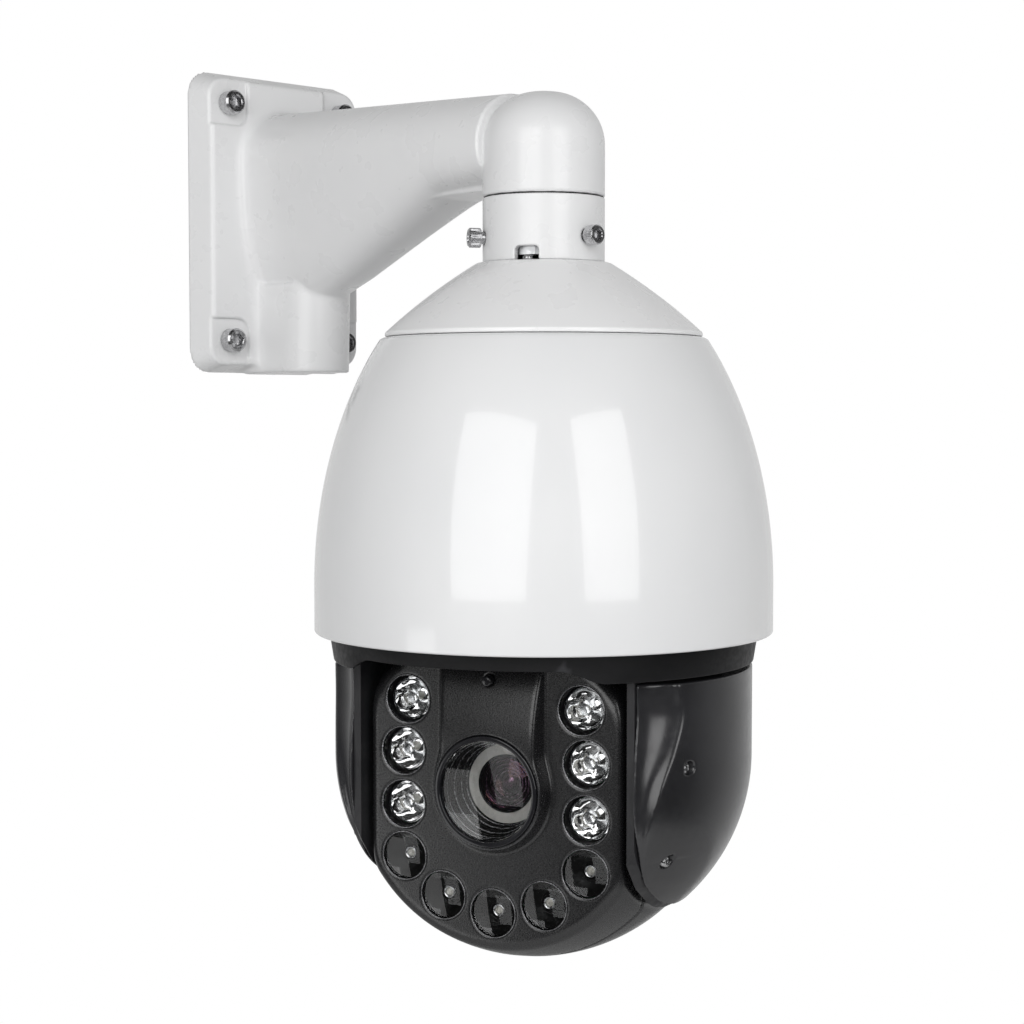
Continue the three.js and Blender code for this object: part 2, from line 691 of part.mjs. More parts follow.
// A belt round two pulleys, the second at (0, offset), lying across Z.
function belt(radius, secondRadius, offset, low) {
  const wrap = (extra) => {
    const shape = new THREE.Shape();
    const lean = Math.asin((radius - secondRadius) / offset);
    shape.absarc(0, 0, radius + extra, Math.PI - lean, 2 * Math.PI + lean);
    shape.absarc(0, offset, secondRadius + extra, lean, Math.PI - lean);
    return shape;
  };
  const band = wrap(GAP + BELT_THICKNESS);
  band.holes.push(wrap(GAP));
  return slab(band, low + 1.2, PULLEY_HEIGHT - 2.4, 12);
}

const panBelt = belt(PAN_PULLEY_R, MOTOR_PULLEY_R, PAN_MOTOR_OFFSET, PULLEY_BOTTOM);
place(neck, "pan_belt", panBelt, blackRubber);

// A small pulley with its motor's shaft standing up out of it.
function motorPulley(low, shaftTop) {
  const rim = pulley(0, MOTOR_PULLEY_R, low).slice(0, -1);
  const high = low + PULLEY_HEIGHT;
  return turned([...rim, [MOTOR_SHAFT_R, high], [MOTOR_SHAFT_R, shaftTop], [0, shaftTop]], COARSE);
}

const panMotorPulley = motorPulley(PULLEY_BOTTOM, CHASSIS_TOP + 9);
place(neck, "pan_motor_pulley", panMotorPulley, aluminium, 0, PAN_MOTOR_OFFSET, 0);

// ---------------------------------------------------------------- turning yoke

const spindle = turned([
  [SPINDLE_BORE_R, DISC_TOP + GAP],
  [SPINDLE_FLANGE_R, DISC_TOP + GAP],
  [SPINDLE_FLANGE_R, FLANGE_TOP],
  [SPINDLE_R, FLANGE_TOP],
  [SPINDLE_R, BEARING_TOP + GAP],
  [SPINDLE_R + 3, BEARING_TOP + GAP],
  [SPINDLE_R + 3, BEARING_TOP + 3],
  [SPINDLE_BORE_R, BEARING_TOP + 3],
  [SPINDLE_BORE_R, DISC_TOP + GAP],
], MEDIUM);
place(yoke, "pan_spindle", spindle, aluminium);

const panPulley = turned(pulley(SPINDLE_R + GAP, PAN_PULLEY_R, PULLEY_BOTTOM), MEDIUM);
place(yoke, "pan_pulley", panPulley, blackSatin);

const innerBore = SPINDLE_R + GAP;
const innerRace = ring(innerBore, innerBore + RACE_WALL, BEARING_BOTTOM, BEARING_TOP, MEDIUM);
place(yoke, "pan_bearing_inner", innerRace, steel);

const skirtBore = SKIRT_R - SKIRT_WALL;
const discR = skirtBore - GAP;

// The outside of the ears as one turned body, set in by some amount, up to a level.
function earBody(inset, top) {
  const low = EAR_BEND - EAR_ROUND * 0.8;
  const round = profileAlong((z) => earRadius(z, inset), low, EAR_BEND, 6);
  const profile = [[0, low], ...round, [EAR_R - inset, top], [0, top]];
  return solid(turned(profile, FINE));
}

// Everything between two distances out to one side, and within the ears' length.
function sideSpace(side, from, to, halfLength) {
  const width = to - from;
  const middle = (side * (from + to)) / 2;
  return solid(block(width, 2 * halfLength, 400, middle, 0, TILT_Z));
}

function yokeFrame() {
  const disc = solid(rod(discR, DISC_BOTTOM, DISC_TOP, FINE));
  const cableHole = solid(rod(SPINDLE_BORE_R - 3, DISC_BOTTOM - 1, DISC_TOP + 1, COARSE));
  const outline = earBody(1.2, DISC_BOTTOM + 1);
  const arms = [-1, 1].map((side) => {
    const bore = alongX(rod(TILT_SHAFT_R + BUSH_WALL + 2 * GAP, ARM_IN - 1, ARM_OUT + 1, MEDIUM));
    const hole = solid(bore.scale(side, 1, 1).translate(0, 0, TILT_Z));
    return outline.intersect(sideSpace(side, ARM_IN, ARM_OUT, EAR_FRONT)).subtract(hole);
  });
  return cut(join(disc, ...arms), cableHole);
}

place(yoke, "yoke_frame", yokeFrame(), blackSatin);

// The skirt: a ring under the dome, whose lower edge arches up over the head's front.
function yokeSkirt() {
  const low = SKIRT_Z;
  const taperTop = DOME_RIM_Z - 1;
  const tube = solid(turned([
    [skirtBore - SKIRT_TAPER, low],
    [SKIRT_R - SKIRT_TAPER, low],
    [SKIRT_R, taperTop],
    [SKIRT_R, DISC_TOP],
    [skirtBore, DISC_TOP],
    [skirtBore, taperTop],
    [skirtBore - SKIRT_TAPER, low],
  ], FINE));
  const angle = THREE.MathUtils.degToRad(ARCH_HALF_ANGLE);
  const edge = SKIRT_R * Math.sin(angle);
  const arch = polygon([[-edge, -2], [-edge, 0], [-edge + 16, ARCH_RISE], [edge - 16, ARCH_RISE],
    [edge, 0], [edge, -2]]);
  const window = alongY(slab(arch, 0, SKIRT_R + 5)).translate(0, 0, low);
  const back = window.clone().rotateZ(Math.PI);
  return cut(tube, solid(window), solid(back));
}

place(yoke, "yoke_skirt", yokeSkirt(), blackSatin);

const earScrews = [
  ["front", EAR_SCREW_UP],
  ["low", -EAR_SCREW_DOWN],
];
const sides = [["left", -1], ["right", 1]];
const screwHeadOut = (z) => {
  const edge = earRadius(z) ** 2 - EAR_SCREW_FORWARD ** 2;
  return Math.sqrt(edge) - 5;
};

// A cover's chamfered corner: a slanted cut along its upright front and back edges.
function bandCut(side, end) {
  const reach = EAR_FRONT + 2;
  const far = EAR_IN + EAR_BAND;
  const back = Math.sqrt(EAR_R ** 2 - far ** 2);
  const outline = polygon([
    [side * (EAR_IN - 3), end * (reach + 2.4)],
    [side * far, end * back],
    [side * (far + 20), end * (back - 20)],
    [side * (far + 20), end * (reach + 40)],
    [side * (EAR_IN - 3), end * (reach + 40)],
  ]);
  return solid(slab(outline, TILT_Z - 200, 400));
}

function earCover(side) {
  const outside = earBody(0, EAR_TOP).intersect(sideSpace(side, EAR_IN, EAR_R + 1, EAR_FRONT + 4));
  const shape = cut(outside, bandCut(side, 1), bandCut(side, -1));
  const room = earBody(EAR_WALL, EAR_TOP - EAR_WALL);
  const narrow = sideSpace(side, EAR_IN - 1, EAR_R, EAR_FRONT - EAR_WALL);
  const hollow = room.intersect(narrow);
  const shell = shape.subtract(hollow);
  const bossR = EAR_SCREW_D / 2 + 3;
  const bosses = earScrews.map(([, up]) => {
    const boss = alongX(rod(bossR, EAR_IN, EAR_R, COARSE)).scale(side, 1, 1);
    return solid(boss.translate(0, -EAR_SCREW_FORWARD, TILT_Z + up)).intersect(shape);
  });
  const holes = earScrews.flatMap(([, up]) => {
    const seat = screwHeadOut(TILT_Z + up);
    return [
      rod(EAR_SCREW_D / 2 + GAP, EAR_IN - 1, EAR_R, COARSE),
      rod(0.8 * EAR_SCREW_D + GAP, seat - GAP, EAR_R + 1, COARSE),
    ].map((tool) => {
      const turnedOut = alongX(tool).scale(side, 1, 1);
      return solid(turnedOut.translate(0, -EAR_SCREW_FORWARD, TILT_Z + up));
    });
  });
  return cut(join(shell, ...bosses), ...holes);
}

sides.forEach(([word, side]) => {
  place(yoke, `ear_cover_${word}`, earCover(side), blackSatin);
  earScrews.forEach(([level, up]) => {
    const seat = screwHeadOut(TILT_Z + up);
    const screw = alongX(capScrew(EAR_SCREW_D, seat - EAR_IN)).translate(seat, 0, 0);
    const name = `ear_screw_${word}_${level}`;
    place(yoke, name, solid(screw.scale(side, 1, 1)), steel, 0, -EAR_SCREW_FORWARD, TILT_Z + up);
  });
});

// ---------------------------------------------------------------- tilt drive in the right ear

const bushR = TILT_SHAFT_R + GAP;
const motorFace = EAR_IN;
const beltPlane = motorFace + TILT_MOTOR_LENGTH + 2 * RUN;

sides.forEach(([word, side]) => {
  const bush = ring(bushR, bushR + BUSH_WALL, ARM_IN, ARM_OUT + 1, MEDIUM);
  place(yoke, `tilt_bush_${word}`, solid(alongX(bush).scale(side, 1, 1)), whitePlastic, 0, 0, TILT_Z);
});

// The tilt motor is a flat one on the yoke's arm, with its shaft towards the cover.
function tiltMotor() {
  const body = solid(rod(TILT_MOTOR_R, motorFace, motorFace + TILT_MOTOR_LENGTH, MEDIUM));
  const depth = motorFace + TILT_MOTOR_LENGTH;
  const hole = solid(rod(MOTOR_SHAFT_R + GAP, depth - 8, depth + 1, COARSE));
  return geometryOf(body.subtract(hole));
}

place(yoke, "tilt_motor", alongX(tiltMotor()), motorBlack, 0, 0, TILT_Z + TILT_MOTOR_RISE);

// The belt is drawn with its second pulley on -X, which the turn to the side lifts to +Z.
const upright = (geometry) => alongX(geometry.rotateZ(Math.PI / 2));
const tiltBelt = belt(TILT_PULLEY_R, MOTOR_PULLEY_R, TILT_MOTOR_RISE, beltPlane);
place(yoke, "tilt_belt", upright(tiltBelt), blackRubber, 0, 0, TILT_Z);

const shaftIn = motorFace + TILT_MOTOR_LENGTH - 7;
const tiltMotorPulley = turned([
  [0, shaftIn],
  [MOTOR_SHAFT_R, shaftIn],
  [MOTOR_SHAFT_R, beltPlane],
  ...pulley(0, MOTOR_PULLEY_R, beltPlane).slice(1),
], COARSE);
const motorHeight = TILT_Z + TILT_MOTOR_RISE;
place(yoke, "tilt_motor_pulley", alongX(tiltMotorPulley), aluminium, 0, 0, motorHeight);

// ---------------------------------------------------------------- tilting head

sides.forEach(([word, side]) => {
  const tip = side > 0 ? beltPlane + PULLEY_HEIGHT : ARM_OUT + 5;
  const flange = HEAD_HALF_WIDTH + GAP;
  const shaft = turned([
    [0, flange],
    [16, flange],
    [16, flange + 2.2],
    [TILT_SHAFT_R, flange + 2.2],
    [TILT_SHAFT_R, tip],
    [0, tip],
  ], MEDIUM);
  place(head, `tilt_shaft_${word}`, solid(alongX(shaft).scale(side, 1, 1)), steel);
});

const tiltPulley = turned(pulley(TILT_SHAFT_R + GAP, TILT_PULLEY_R, beltPlane), MEDIUM);
place(head, "tilt_pulley", alongX(tiltPulley), blackSatin);

const lampPlaces = LAMP_ROWS.flatMap((up, row) => {
  const out = row === 0 ? LAMP_TOP_COLUMN : LAMP_COLUMN;
  return [[-out, up], [out, up]];
});
const lowLampPlaces = [-2, -1, 0, 1, 2].map((step) => {
  const angle = THREE.MathUtils.degToRad(step * LOW_LAMP_STEP);
  return [LOW_LAMP_RING_R * Math.sin(angle), -LOW_LAMP_RING_R * Math.cos(angle)];
});

// The whole head as one closed body, set in by some amount.
function headBody(inset, steps = 4, sides = MEDIUM) {
  const front = PANEL_FORWARD - inset;
  const back = inset - HEAD_R;
  const rear = arc(0, 0, HEAD_R - inset, HEAD_R - inset, -90, 0, 2 * steps).slice(1);
  const nose = profileAlong((d) => headRadius(d, inset), 0, front, steps).slice(1);
  const round = solid(turned([[0, back], ...rear, ...nose, [0, front]], sides));
  const width = 2 * (HEAD_HALF_WIDTH - inset);
  return round.intersect(solid(block(width, 300, 300, 0, 0, 0)));
}

// Half of the head shell: what lies in front of the seam, or behind it.
function shellHalf(from, to) {
  const space = solid(block(300, 300, to - from, 0, 0, (from + to) / 2));
  return cut(headBody(0, 5, FINE), headBody(HEAD_WALL)).intersect(space);
}

// The hood round the lens: a keyhole, round below and straight-sided above.
function hoodOutline(extra) {
  const radius = HOOD_R + extra;
  const neckHalf = HOOD_NECK + extra;
  const lean = Math.acos(neckHalf / radius);
  const shape = new THREE.Shape();
  shape.absarc(0, 0, radius, Math.PI - lean, 2 * Math.PI + lean);
  shape.lineTo(neckHalf, HOOD_TOP);
  shape.lineTo(-neckHalf, HOOD_TOP);
  return shape;
}

function hoodBody() {
  const ringAt = (extra, forward) => {
    return hoodOutline(extra).getPoints(20).map((p) => new THREE.Vector3(p.x, p.y, forward));
  };
  const foot = PANEL_FORWARD - 1;
  return solid(loft([ringAt(HOOD_FOOT, foot), ringAt(0, HOOD_FRONT)]));
}

function headFrontShell() {
  const seam = SEAM_FORWARD + SEAL_THICKNESS / 2 + GAP;
  const shell = shellHalf(seam, PANEL_FORWARD + 1);
  const hood = hoodBody().intersect(solid(rod(headRadius(PANEL_FORWARD), 0, 100, MEDIUM)));
  const lamps = [...lampPlaces, ...lowLampPlaces].map(([x, y]) => {
    return solid(rod(LAMP_HOLE_R, SEAM_FORWARD, PANEL_FORWARD + 1, COARSE + 4).translate(x, y, 0));
  });
  const window = solid(rod(RING_R + GAP, SEAM_FORWARD, HOOD_FRONT + 1, MEDIUM));
  const sensorHole = rod(SENSOR_R + GAP, SEAM_FORWARD, HOOD_FRONT + 1, COARSE);
  return cut(join(shell, hood), ...lamps, window, solid(sensorHole.translate(0, SENSOR_UP, 0)));
}

place(head, "head_front_shell", headFrontShell(), blackSatin);

const rearSeam = SEAM_FORWARD - SEAL_THICKNESS / 2 - GAP;
place(head, "head_rear_shell", shellHalf(-HEAD_R - 1, rearSeam), blackSatin);

function headSeal() {
  const half = SEAL_THICKNESS / 2;
  const space = solid(block(300, 300, SEAL_THICKNESS, 0, 0, SEAM_FORWARD));
  return cut(headBody(2 * GAP, 5, FINE), headBody(HEAD_WALL + half)).intersect(space);
}

place(head, "head_seal", headSeal(), blackRubber);

// The lamp board: a horseshoe behind the lamps, open round the camera, with a chip per lamp.
function lampBoard() {
  const outerR = headRadius(PANEL_FORWARD) - 6;
  const innerR = BLOCK_SIZE / Math.SQRT2 + RUN;
  const half = HEAD_HALF_WIDTH - HEAD_WALL - 2;
  const low = LAMP_BOARD_FORWARD - BOARD_THICKNESS;
  const top = LAMP_ROWS[0] + 8;
  const middle = LAMP_BOARD_FORWARD - BOARD_THICKNESS / 2;
  const disc = solid(rod(outerR, low, LAMP_BOARD_FORWARD, FINE));
  const trimmed = solid(block(2 * half, outerR + top, 2, 0, (top - outerR) / 2, middle));
  const round = solid(rod(innerR, low - 1, LAMP_BOARD_FORWARD + 1, FINE));
  const slot = solid(block(2 * innerR, outerR, 4, 0, outerR / 2, middle));
  const chips = [...lampPlaces, ...lowLampPlaces].map(([x, y]) => {
    return solid(block(5, 5, 3, x, y, LAMP_BOARD_FORWARD + 0.5));
  });
  return join(cut(disc.intersect(trimmed), round, slot), ...chips);
}

place(head, "lamp_board", lampBoard(), boardGreen);

// Each beam lens is a solid cone of clear plastic that widens towards the front.
const lensFront = PANEL_FORWARD - 1.2;
lampPlaces.forEach(([x, y], i) => {
  const low = LAMP_BOARD_FORWARD + 2 + 2 * GAP;
  const wide = LAMP_HOLE_R - GAP;
  const profile = [[0, low], [5, low], [wide, lensFront - 3], [wide, lensFront], [0, lensFront]];
  place(head, `beam_lens_${i + 1}`, turned(profile, COARSE + 4), clearGlass, x, y, 0);
});

// The low lamps share one clear window: a curved strip behind the panel, with a boss in each hole.
function lowLampWindow() {
  const back = PANEL_FORWARD - HEAD_WALL - GAP;
  const strip = new THREE.Shape();
  const sweep = THREE.MathUtils.degToRad(2 * LOW_LAMP_STEP);
  const half = 7;
  const down = -Math.PI / 2;
  strip.absarc(0, 0, LOW_LAMP_RING_R + half, down - sweep, down + sweep);
  strip.absarc(0, 0, LOW_LAMP_RING_R - half, down + sweep, down - sweep, true);
  const band = solid(slab(strip, back - 1.6, 1.6, 16));
  const bosses = lowLampPlaces.map(([x, y]) => {
    const boss = rod(LAMP_HOLE_R - GAP, back - 1.6, lensFront, COARSE + 4);
    return solid(boss.translate(x, y, 0));
  });
  return join(band, ...bosses);
}

place(head, "low_lamp_window", lowLampWindow(), clearGlass);

// ---------------------------------------------------------------- window and zoom camera

const ringBore = RING_R - RING_WALL;
const windowFront = HOOD_FRONT - 1.5;
const windowBack = windowFront - WINDOW_THICKNESS;
const seatStep = 1.2; // how much narrower the ring is behind its window

const lensRing = turned([
  [ringBore - seatStep, windowBack - GAP - 2],
  [RING_R, windowBack - GAP - 2],
  [RING_R, HOOD_FRONT + 0.4],
  [ringBore, HOOD_FRONT + 0.4],
  [ringBore, windowBack - GAP],
  [ringBore - seatStep, windowBack - GAP],
  [ringBore - seatStep, windowBack - GAP - 2],
], MEDIUM);
place(head, "lens_ring", lensRing, blackGloss);

const windowGlass = rod(ringBore - GAP, windowBack, windowFront, MEDIUM);
place(head, "lens_window", windowGlass, clearGlass);

const baffleFront = windowBack - GAP - 2 - GAP;
const baffleBack = baffleFront - BAFFLE_DEPTH;
const baffleMouth = ringBore - seatStep;
const baffleThroat = BAFFLE_FLOOR_R + 6;

// The baffle: a stepped funnel that shades the lens, with a flat floor round it.
function baffleProfile() {
  const steps = 4;
  const inside = [];
  for (let i = 0; i < steps; i++) {
    const radius = baffleMouth - ((baffleMouth - baffleThroat) * i) / steps;
    inside.push([radius, baffleFront - (BAFFLE_DEPTH * i) / (steps + 1)]);
    inside.push([radius, baffleFront - (BAFFLE_DEPTH * (i + 0.8)) / (steps + 1)]);
  }
  const floor = baffleBack + 1.5;
  return [
    [BAFFLE_FLOOR_R, baffleBack],
    [baffleThroat + 2, baffleBack],
    [RING_R - GAP, baffleFront],
    ...inside,
    [baffleThroat, floor],
    [BAFFLE_FLOOR_R, floor],
    [BAFFLE_FLOOR_R, baffleBack],
  ];
}

place(head, "lens_baffle", turned(baffleProfile(), MEDIUM), blackGloss);

const blockFront = baffleBack - GAP;
const filterSlot = 4; // where the filter's slot starts, forward of the tilt axis

function zoomBlock() {
  const half = BLOCK_SIZE / 2;
  const length = blockFront - BLOCK_BACK;
  const body = solid(slab(roundedRectangle(half, half, 4), BLOCK_BACK, length, 3));
  const bore = solid(rod(BLOCK_BORE_R, filterSlot + 5, blockFront - 3, MEDIUM));
  const mouth = solid(rod(BAFFLE_FLOOR_R, blockFront - 4, blockFront + 1, MEDIUM));
  const slotWidth = FILTER_SIZE + FILTER_TRAVEL + 2 * RUN;
  const slotShape = block(slotWidth, FILTER_SIZE + 2 * RUN, 6, FILTER_TRAVEL / 2, 0, filterSlot + 3);
  const slot = solid(slotShape);
  return cut(body, bore, mouth, slot);
}

place(head, "zoom_block", zoomBlock(), motorBlack);

const frontLens = turned([
  [0, blockFront - 2.7],
  [LENS_R, blockFront - 2.7],
  [LENS_R, blockFront + 1.5],
  [LENS_R * 0.6, blockFront + 3.2],
  [0, blockFront + 3.8],
], MEDIUM);
place(head, "front_lens", frontLens, coatedGlass);

// A lens in its sliding holder, which runs in the block's bore.
function lensGroup(front, length) {
  return turned([
    [0, front - length],
    [BLOCK_BORE_R - RUN, front - length],
    [BLOCK_BORE_R - RUN, front - 1],
    [LENS_R - 2, front - 1],
    [0, front],
  ], MEDIUM);
}

const zoomFront = blockFront - 5;
const zoomLength = 4;
const focusFront = zoomFront - zoomLength - ZOOM_TRAVEL - RUN;
const focusLength = 3;
place(head, "zoom_group", lensGroup(zoomFront, zoomLength), coatedGlass);
place(head, "focus_group", lensGroup(focusFront, focusLength), coatedGlass);

const filter = block(FILTER_SIZE, FILTER_SIZE, 1.6, 0, 0, filterSlot + 3);
place(head, "cut_filter", filter, coatedGlass);

// The light sensor looks out of the hood, over the lens.
const sensor = rod(SENSOR_R, PANEL_FORWARD - 3, HOOD_FRONT - 0.8, COARSE);
place(head, "light_sensor", sensor, blackGloss, 0, SENSOR_UP, 0);

export default camera;
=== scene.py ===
# %% [markdown]
# # An outdoor speed dome camera on its wall arm
# This lesson dresses a finished engineering model of a pan, tilt and zoom camera. Lengths
# below are in millimetres and become metres only when a mesh is made.

# %% Load the engineering frame
import json
import math

import bmesh
import bpy
import numpy as np
from mathutils import Matrix, Vector


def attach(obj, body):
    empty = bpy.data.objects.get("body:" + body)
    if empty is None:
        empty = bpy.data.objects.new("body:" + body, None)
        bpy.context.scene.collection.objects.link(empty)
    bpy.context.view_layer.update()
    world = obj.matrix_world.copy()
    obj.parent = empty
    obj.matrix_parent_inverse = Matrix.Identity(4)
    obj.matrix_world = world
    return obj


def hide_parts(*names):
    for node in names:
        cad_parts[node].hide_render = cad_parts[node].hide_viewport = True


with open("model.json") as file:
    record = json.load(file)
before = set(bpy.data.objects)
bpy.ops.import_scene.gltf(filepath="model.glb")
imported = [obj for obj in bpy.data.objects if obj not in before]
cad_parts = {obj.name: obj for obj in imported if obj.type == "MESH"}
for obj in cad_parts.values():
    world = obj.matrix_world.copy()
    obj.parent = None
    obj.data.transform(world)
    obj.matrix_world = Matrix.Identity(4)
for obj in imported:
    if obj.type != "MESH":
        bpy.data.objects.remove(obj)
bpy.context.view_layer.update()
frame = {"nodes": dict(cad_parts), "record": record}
nodes = frame["nodes"]
slot_of = {row["node"]: row["material_slot"] for row in frame["record"]["subparts"]}
print("nodes:", len(nodes))

# %% [markdown]
# ## The view
# The camera stands a little below the wall arm and looks almost level, from the front left.
# A long lens from 1.2 m keeps the dome's round rim nearly flat.

# %% Camera
LENS_MM = 70.3125
SENSOR_MM = 36
DROP_OVER_2_M = 107.2
eye = Vector((-683.68, -938.86, -101.2)) * 0.001
pitch = math.atan2(DROP_OVER_2_M, 2000)
heading = Vector((0.6807, 0.7325, 0)).normalized()
look = Vector((heading.x * math.cos(pitch), heading.y * math.cos(pitch), -math.sin(pitch)))
lens_data = bpy.data.cameras.new("studio_camera")
lens_data.lens = LENS_MM
lens_data.sensor_width = SENSOR_MM
studio_camera = bpy.data.objects.new("studio_camera", lens_data)
studio_camera.location = eye
studio_camera.rotation_euler = look.to_track_quat("-Z", "Y").to_euler()
bpy.context.scene.collection.objects.link(studio_camera)
bpy.context.scene.camera = studio_camera
print("camera at", [round(v, 3) for v in eye])

# %% [markdown]
# ## The studio
# White glossy shells show nothing but what they mirror, so the lights are part of the finish.
# A pale room gives the soft greys, and two tall soft boxes give the two upright bands on the dome.
# A box at the right and a fill over the camera lift the side faces, and neither is mirrored.
# A low card at the left shows in the black mouldings.
#
# The room looks different to each kind of ray. The camera sees plain white. Mirrors see it dark
# on the camera's side and bright behind the object, so blacks stay black and edges still shine.
# Matt surfaces are lit by a dim room that fades towards the ceiling.

# %% Room light and floor
def linked(name, data):
    """A new object with this data, in the scene."""
    made = bpy.data.objects.new(name, data)
    bpy.context.scene.collection.objects.link(made)
    return made


def spread(tree, source, span, low, high):
    """Turns a span of a node's output into the span from low to high."""
    made = tree.nodes.new("ShaderNodeMapRange")
    made.inputs["From Min"].default_value, made.inputs["From Max"].default_value = span
    made.inputs["To Min"].default_value = low
    made.inputs["To Max"].default_value = high
    tree.links.new(source, made.inputs["Value"])
    return made.outputs["Result"]


ROOM_AT_HORIZON, ROOM_OVERHEAD = 0.46, 0.02
MIRRORED_IN_FRONT, MIRRORED_BEHIND = 0.04, 0.85
room = bpy.data.worlds.new("pale_room")
room.use_nodes = True
bpy.context.scene.world = room
room_tree = room.node_tree
direction = room_tree.nodes.new("ShaderNodeTexCoord")
seen = room_tree.nodes.new("ShaderNodeLightPath")
sky = room_tree.nodes["Background"]
backdrop = room_tree.nodes.new("ShaderNodeBackground")
for white in (sky, backdrop):
    white.inputs["Color"].default_value = (1, 1, 1, 1)
backdrop.inputs["Strength"].default_value = 1.0
upward = room_tree.nodes.new("ShaderNodeSeparateXYZ")
room_tree.links.new(direction.outputs["Generated"], upward.inputs["Vector"])
dimmer = spread(room_tree, upward.outputs["Z"], (0.0, 1.0), ROOM_AT_HORIZON, ROOM_OVERHEAD)
room_tree.links.new(dimmer, sky.inputs["Strength"])
along = room_tree.nodes.new("ShaderNodeVectorMath")
along.operation = "DOT_PRODUCT"
along.inputs[1].default_value = (heading.x, heading.y, 0)
room_tree.links.new(direction.outputs["Generated"], along.inputs[0])
depth = spread(room_tree, along.outputs["Value"], (-0.1, 0.9), MIRRORED_IN_FRONT, MIRRORED_BEHIND)
mirrored = room_tree.nodes.new("ShaderNodeBackground")
room_tree.links.new(depth, mirrored.inputs["Strength"])


def either(ray, others, these):
    """One shader for rays of a kind, and another for the others."""
    made = room_tree.nodes.new("ShaderNodeMixShader")
    room_tree.links.new(seen.outputs[ray], made.inputs["Fac"])
    room_tree.links.new(others, made.inputs[1])
    room_tree.links.new(these, made.inputs[2])
    return made.outputs["Shader"]


shine = either("Is Glossy Ray", sky.outputs["Background"], mirrored.outputs["Background"])
blend = either("Is Camera Ray", shine, backdrop.outputs["Background"])
room_tree.links.new(blend, room_tree.nodes["World Output"].inputs["Surface"])
bpy.context.scene.view_settings.view_transform = "Standard"

floor_mesh = bpy.data.meshes.new("studio_floor")
FLOOR_Z, FLOOR_R, FLOOR_SIDES = -0.95, 1.2, 96
rim = []
for i in range(FLOOR_SIDES):
    angle = 2 * math.pi * i / FLOOR_SIDES
    rim.append((FLOOR_R * math.cos(angle), FLOOR_R * math.sin(angle) - 0.226, FLOOR_Z))
floor_mesh.from_pydata(rim, [], [tuple(range(FLOOR_SIDES))])
studio_floor = linked("studio_floor", floor_mesh)
print("floor at z", FLOOR_Z)

# %% Soft boxes
side_way = Vector((heading.y, -heading.x, 0))
ball = Vector((0, -0.226, -0.17))


def soft_box(name, turn, lift, far, width, height, glow):
    """A rectangular light round the dome, by its angle from the camera, its height and its glow."""
    data = bpy.data.lights.new(name, "AREA")
    data.shape = "RECTANGLE"
    data.size, data.size_y = width, height
    data.energy = glow * math.pi * width * height
    lamp = linked(name, data)
    angle = math.radians(turn)
    out = side_way * math.sin(angle) - heading * math.cos(angle)
    lamp.location = ball + out * far + Vector((0, 0, lift))
    lamp.rotation_euler = (ball - lamp.location).to_track_quat("-Z", "Y").to_euler()
    return lamp


left_box = soft_box("soft_box_left", -26.5, 0.40, 1.3, 0.92, 1.1, 1.95)
right_box = soft_box("soft_box_right", 31, 0.40, 1.3, 0.66, 1.1, 1.95)
edge_box = soft_box("soft_box_edge", 98, 0.05, 1.3, 0.8, 1.3, 0.5)
edge_box.visible_glossy = False
front_fill = soft_box("front_fill", 4, 0.70, 1.6, 1.6, 1.2, 1.35)
front_fill.visible_glossy = False
card = soft_box("side_card", -60.5, -0.64, 1.15, 0.36, 0.9, 1.3)
print("lights:", left_box.name, right_box.name, edge_box.name, front_fill.name, card.name)

# %% [markdown]
# ## Measures shared by the pieces
# These are the engineering model's own sizes. Pieces that stand for a node repeat them, so the
# dressed model stays inside the engineering one.

# %% Places of the three moving frames
REACH = 226.0
TILT_Z = -282.0
FACING = math.radians(-67.7)
wall_place = Matrix.Identity(4)
neck_place = Matrix.Translation((0, -REACH, 0))
yoke_place = neck_place @ Matrix.Rotation(FACING, 4, "Z")
head_place = yoke_place @ Matrix.Translation((0, 0, TILT_Z)) @ Matrix.Rotation(math.pi / 2, 4, "X")
print("head axis at", [round(v, 1) for v in head_place.translation])

# %% [markdown]
# ## A mesh from points
# Each piece is a list of points and faces in its own frame. One helper turns it into a Blender
# object in metres, marks its sharp edges, and hands it to its body.

# %% Making one piece
def mesh_of(name, points, faces, place):
    """A mesh in metres from points in millimetres in a frame, with doubled points merged."""
    data = bpy.data.meshes.new(name)
    data.from_pydata([tuple(p) for p in points], [], faces)
    data.transform(Matrix.Scale(0.001, 4) @ place)
    work = bmesh.new()
    work.from_mesh(data)
    bmesh.ops.remove_doubles(work, verts=work.verts, dist=1e-7)
    bmesh.ops.dissolve_degenerate(work, edges=work.edges, dist=1e-8)
    bmesh.ops.recalc_face_normals(work, faces=work.faces)
    work.to_mesh(data)
    work.free()
    return data


def piece(name, shape, place, body, slot, stands_for=(), crease=32, look=None):
    """A piece that rides on a body, takes its finish from a slot and stands for some nodes."""
    points, faces = shape
    made = linked(name, mesh_of(name, points, faces, place))
    made.data.shade_smooth()
    made.data.set_sharp_from_angle(angle=math.radians(crease))
    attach(made, body)
    if stands_for:
        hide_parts(*stands_for)
    dressed.append((made, look or slot))
    return made


dressed = []
print("helpers ready")

# %% [markdown]
# ## Turned shapes
# Most of this camera is round: dome, cap, collar, lens and lamps. In Blender a Screw modifier or
# the Spin tool turns a profile; here the same is done in a few lines, so the profile's corners
# can first be rounded off by a chosen radius, as a real moulding's are.

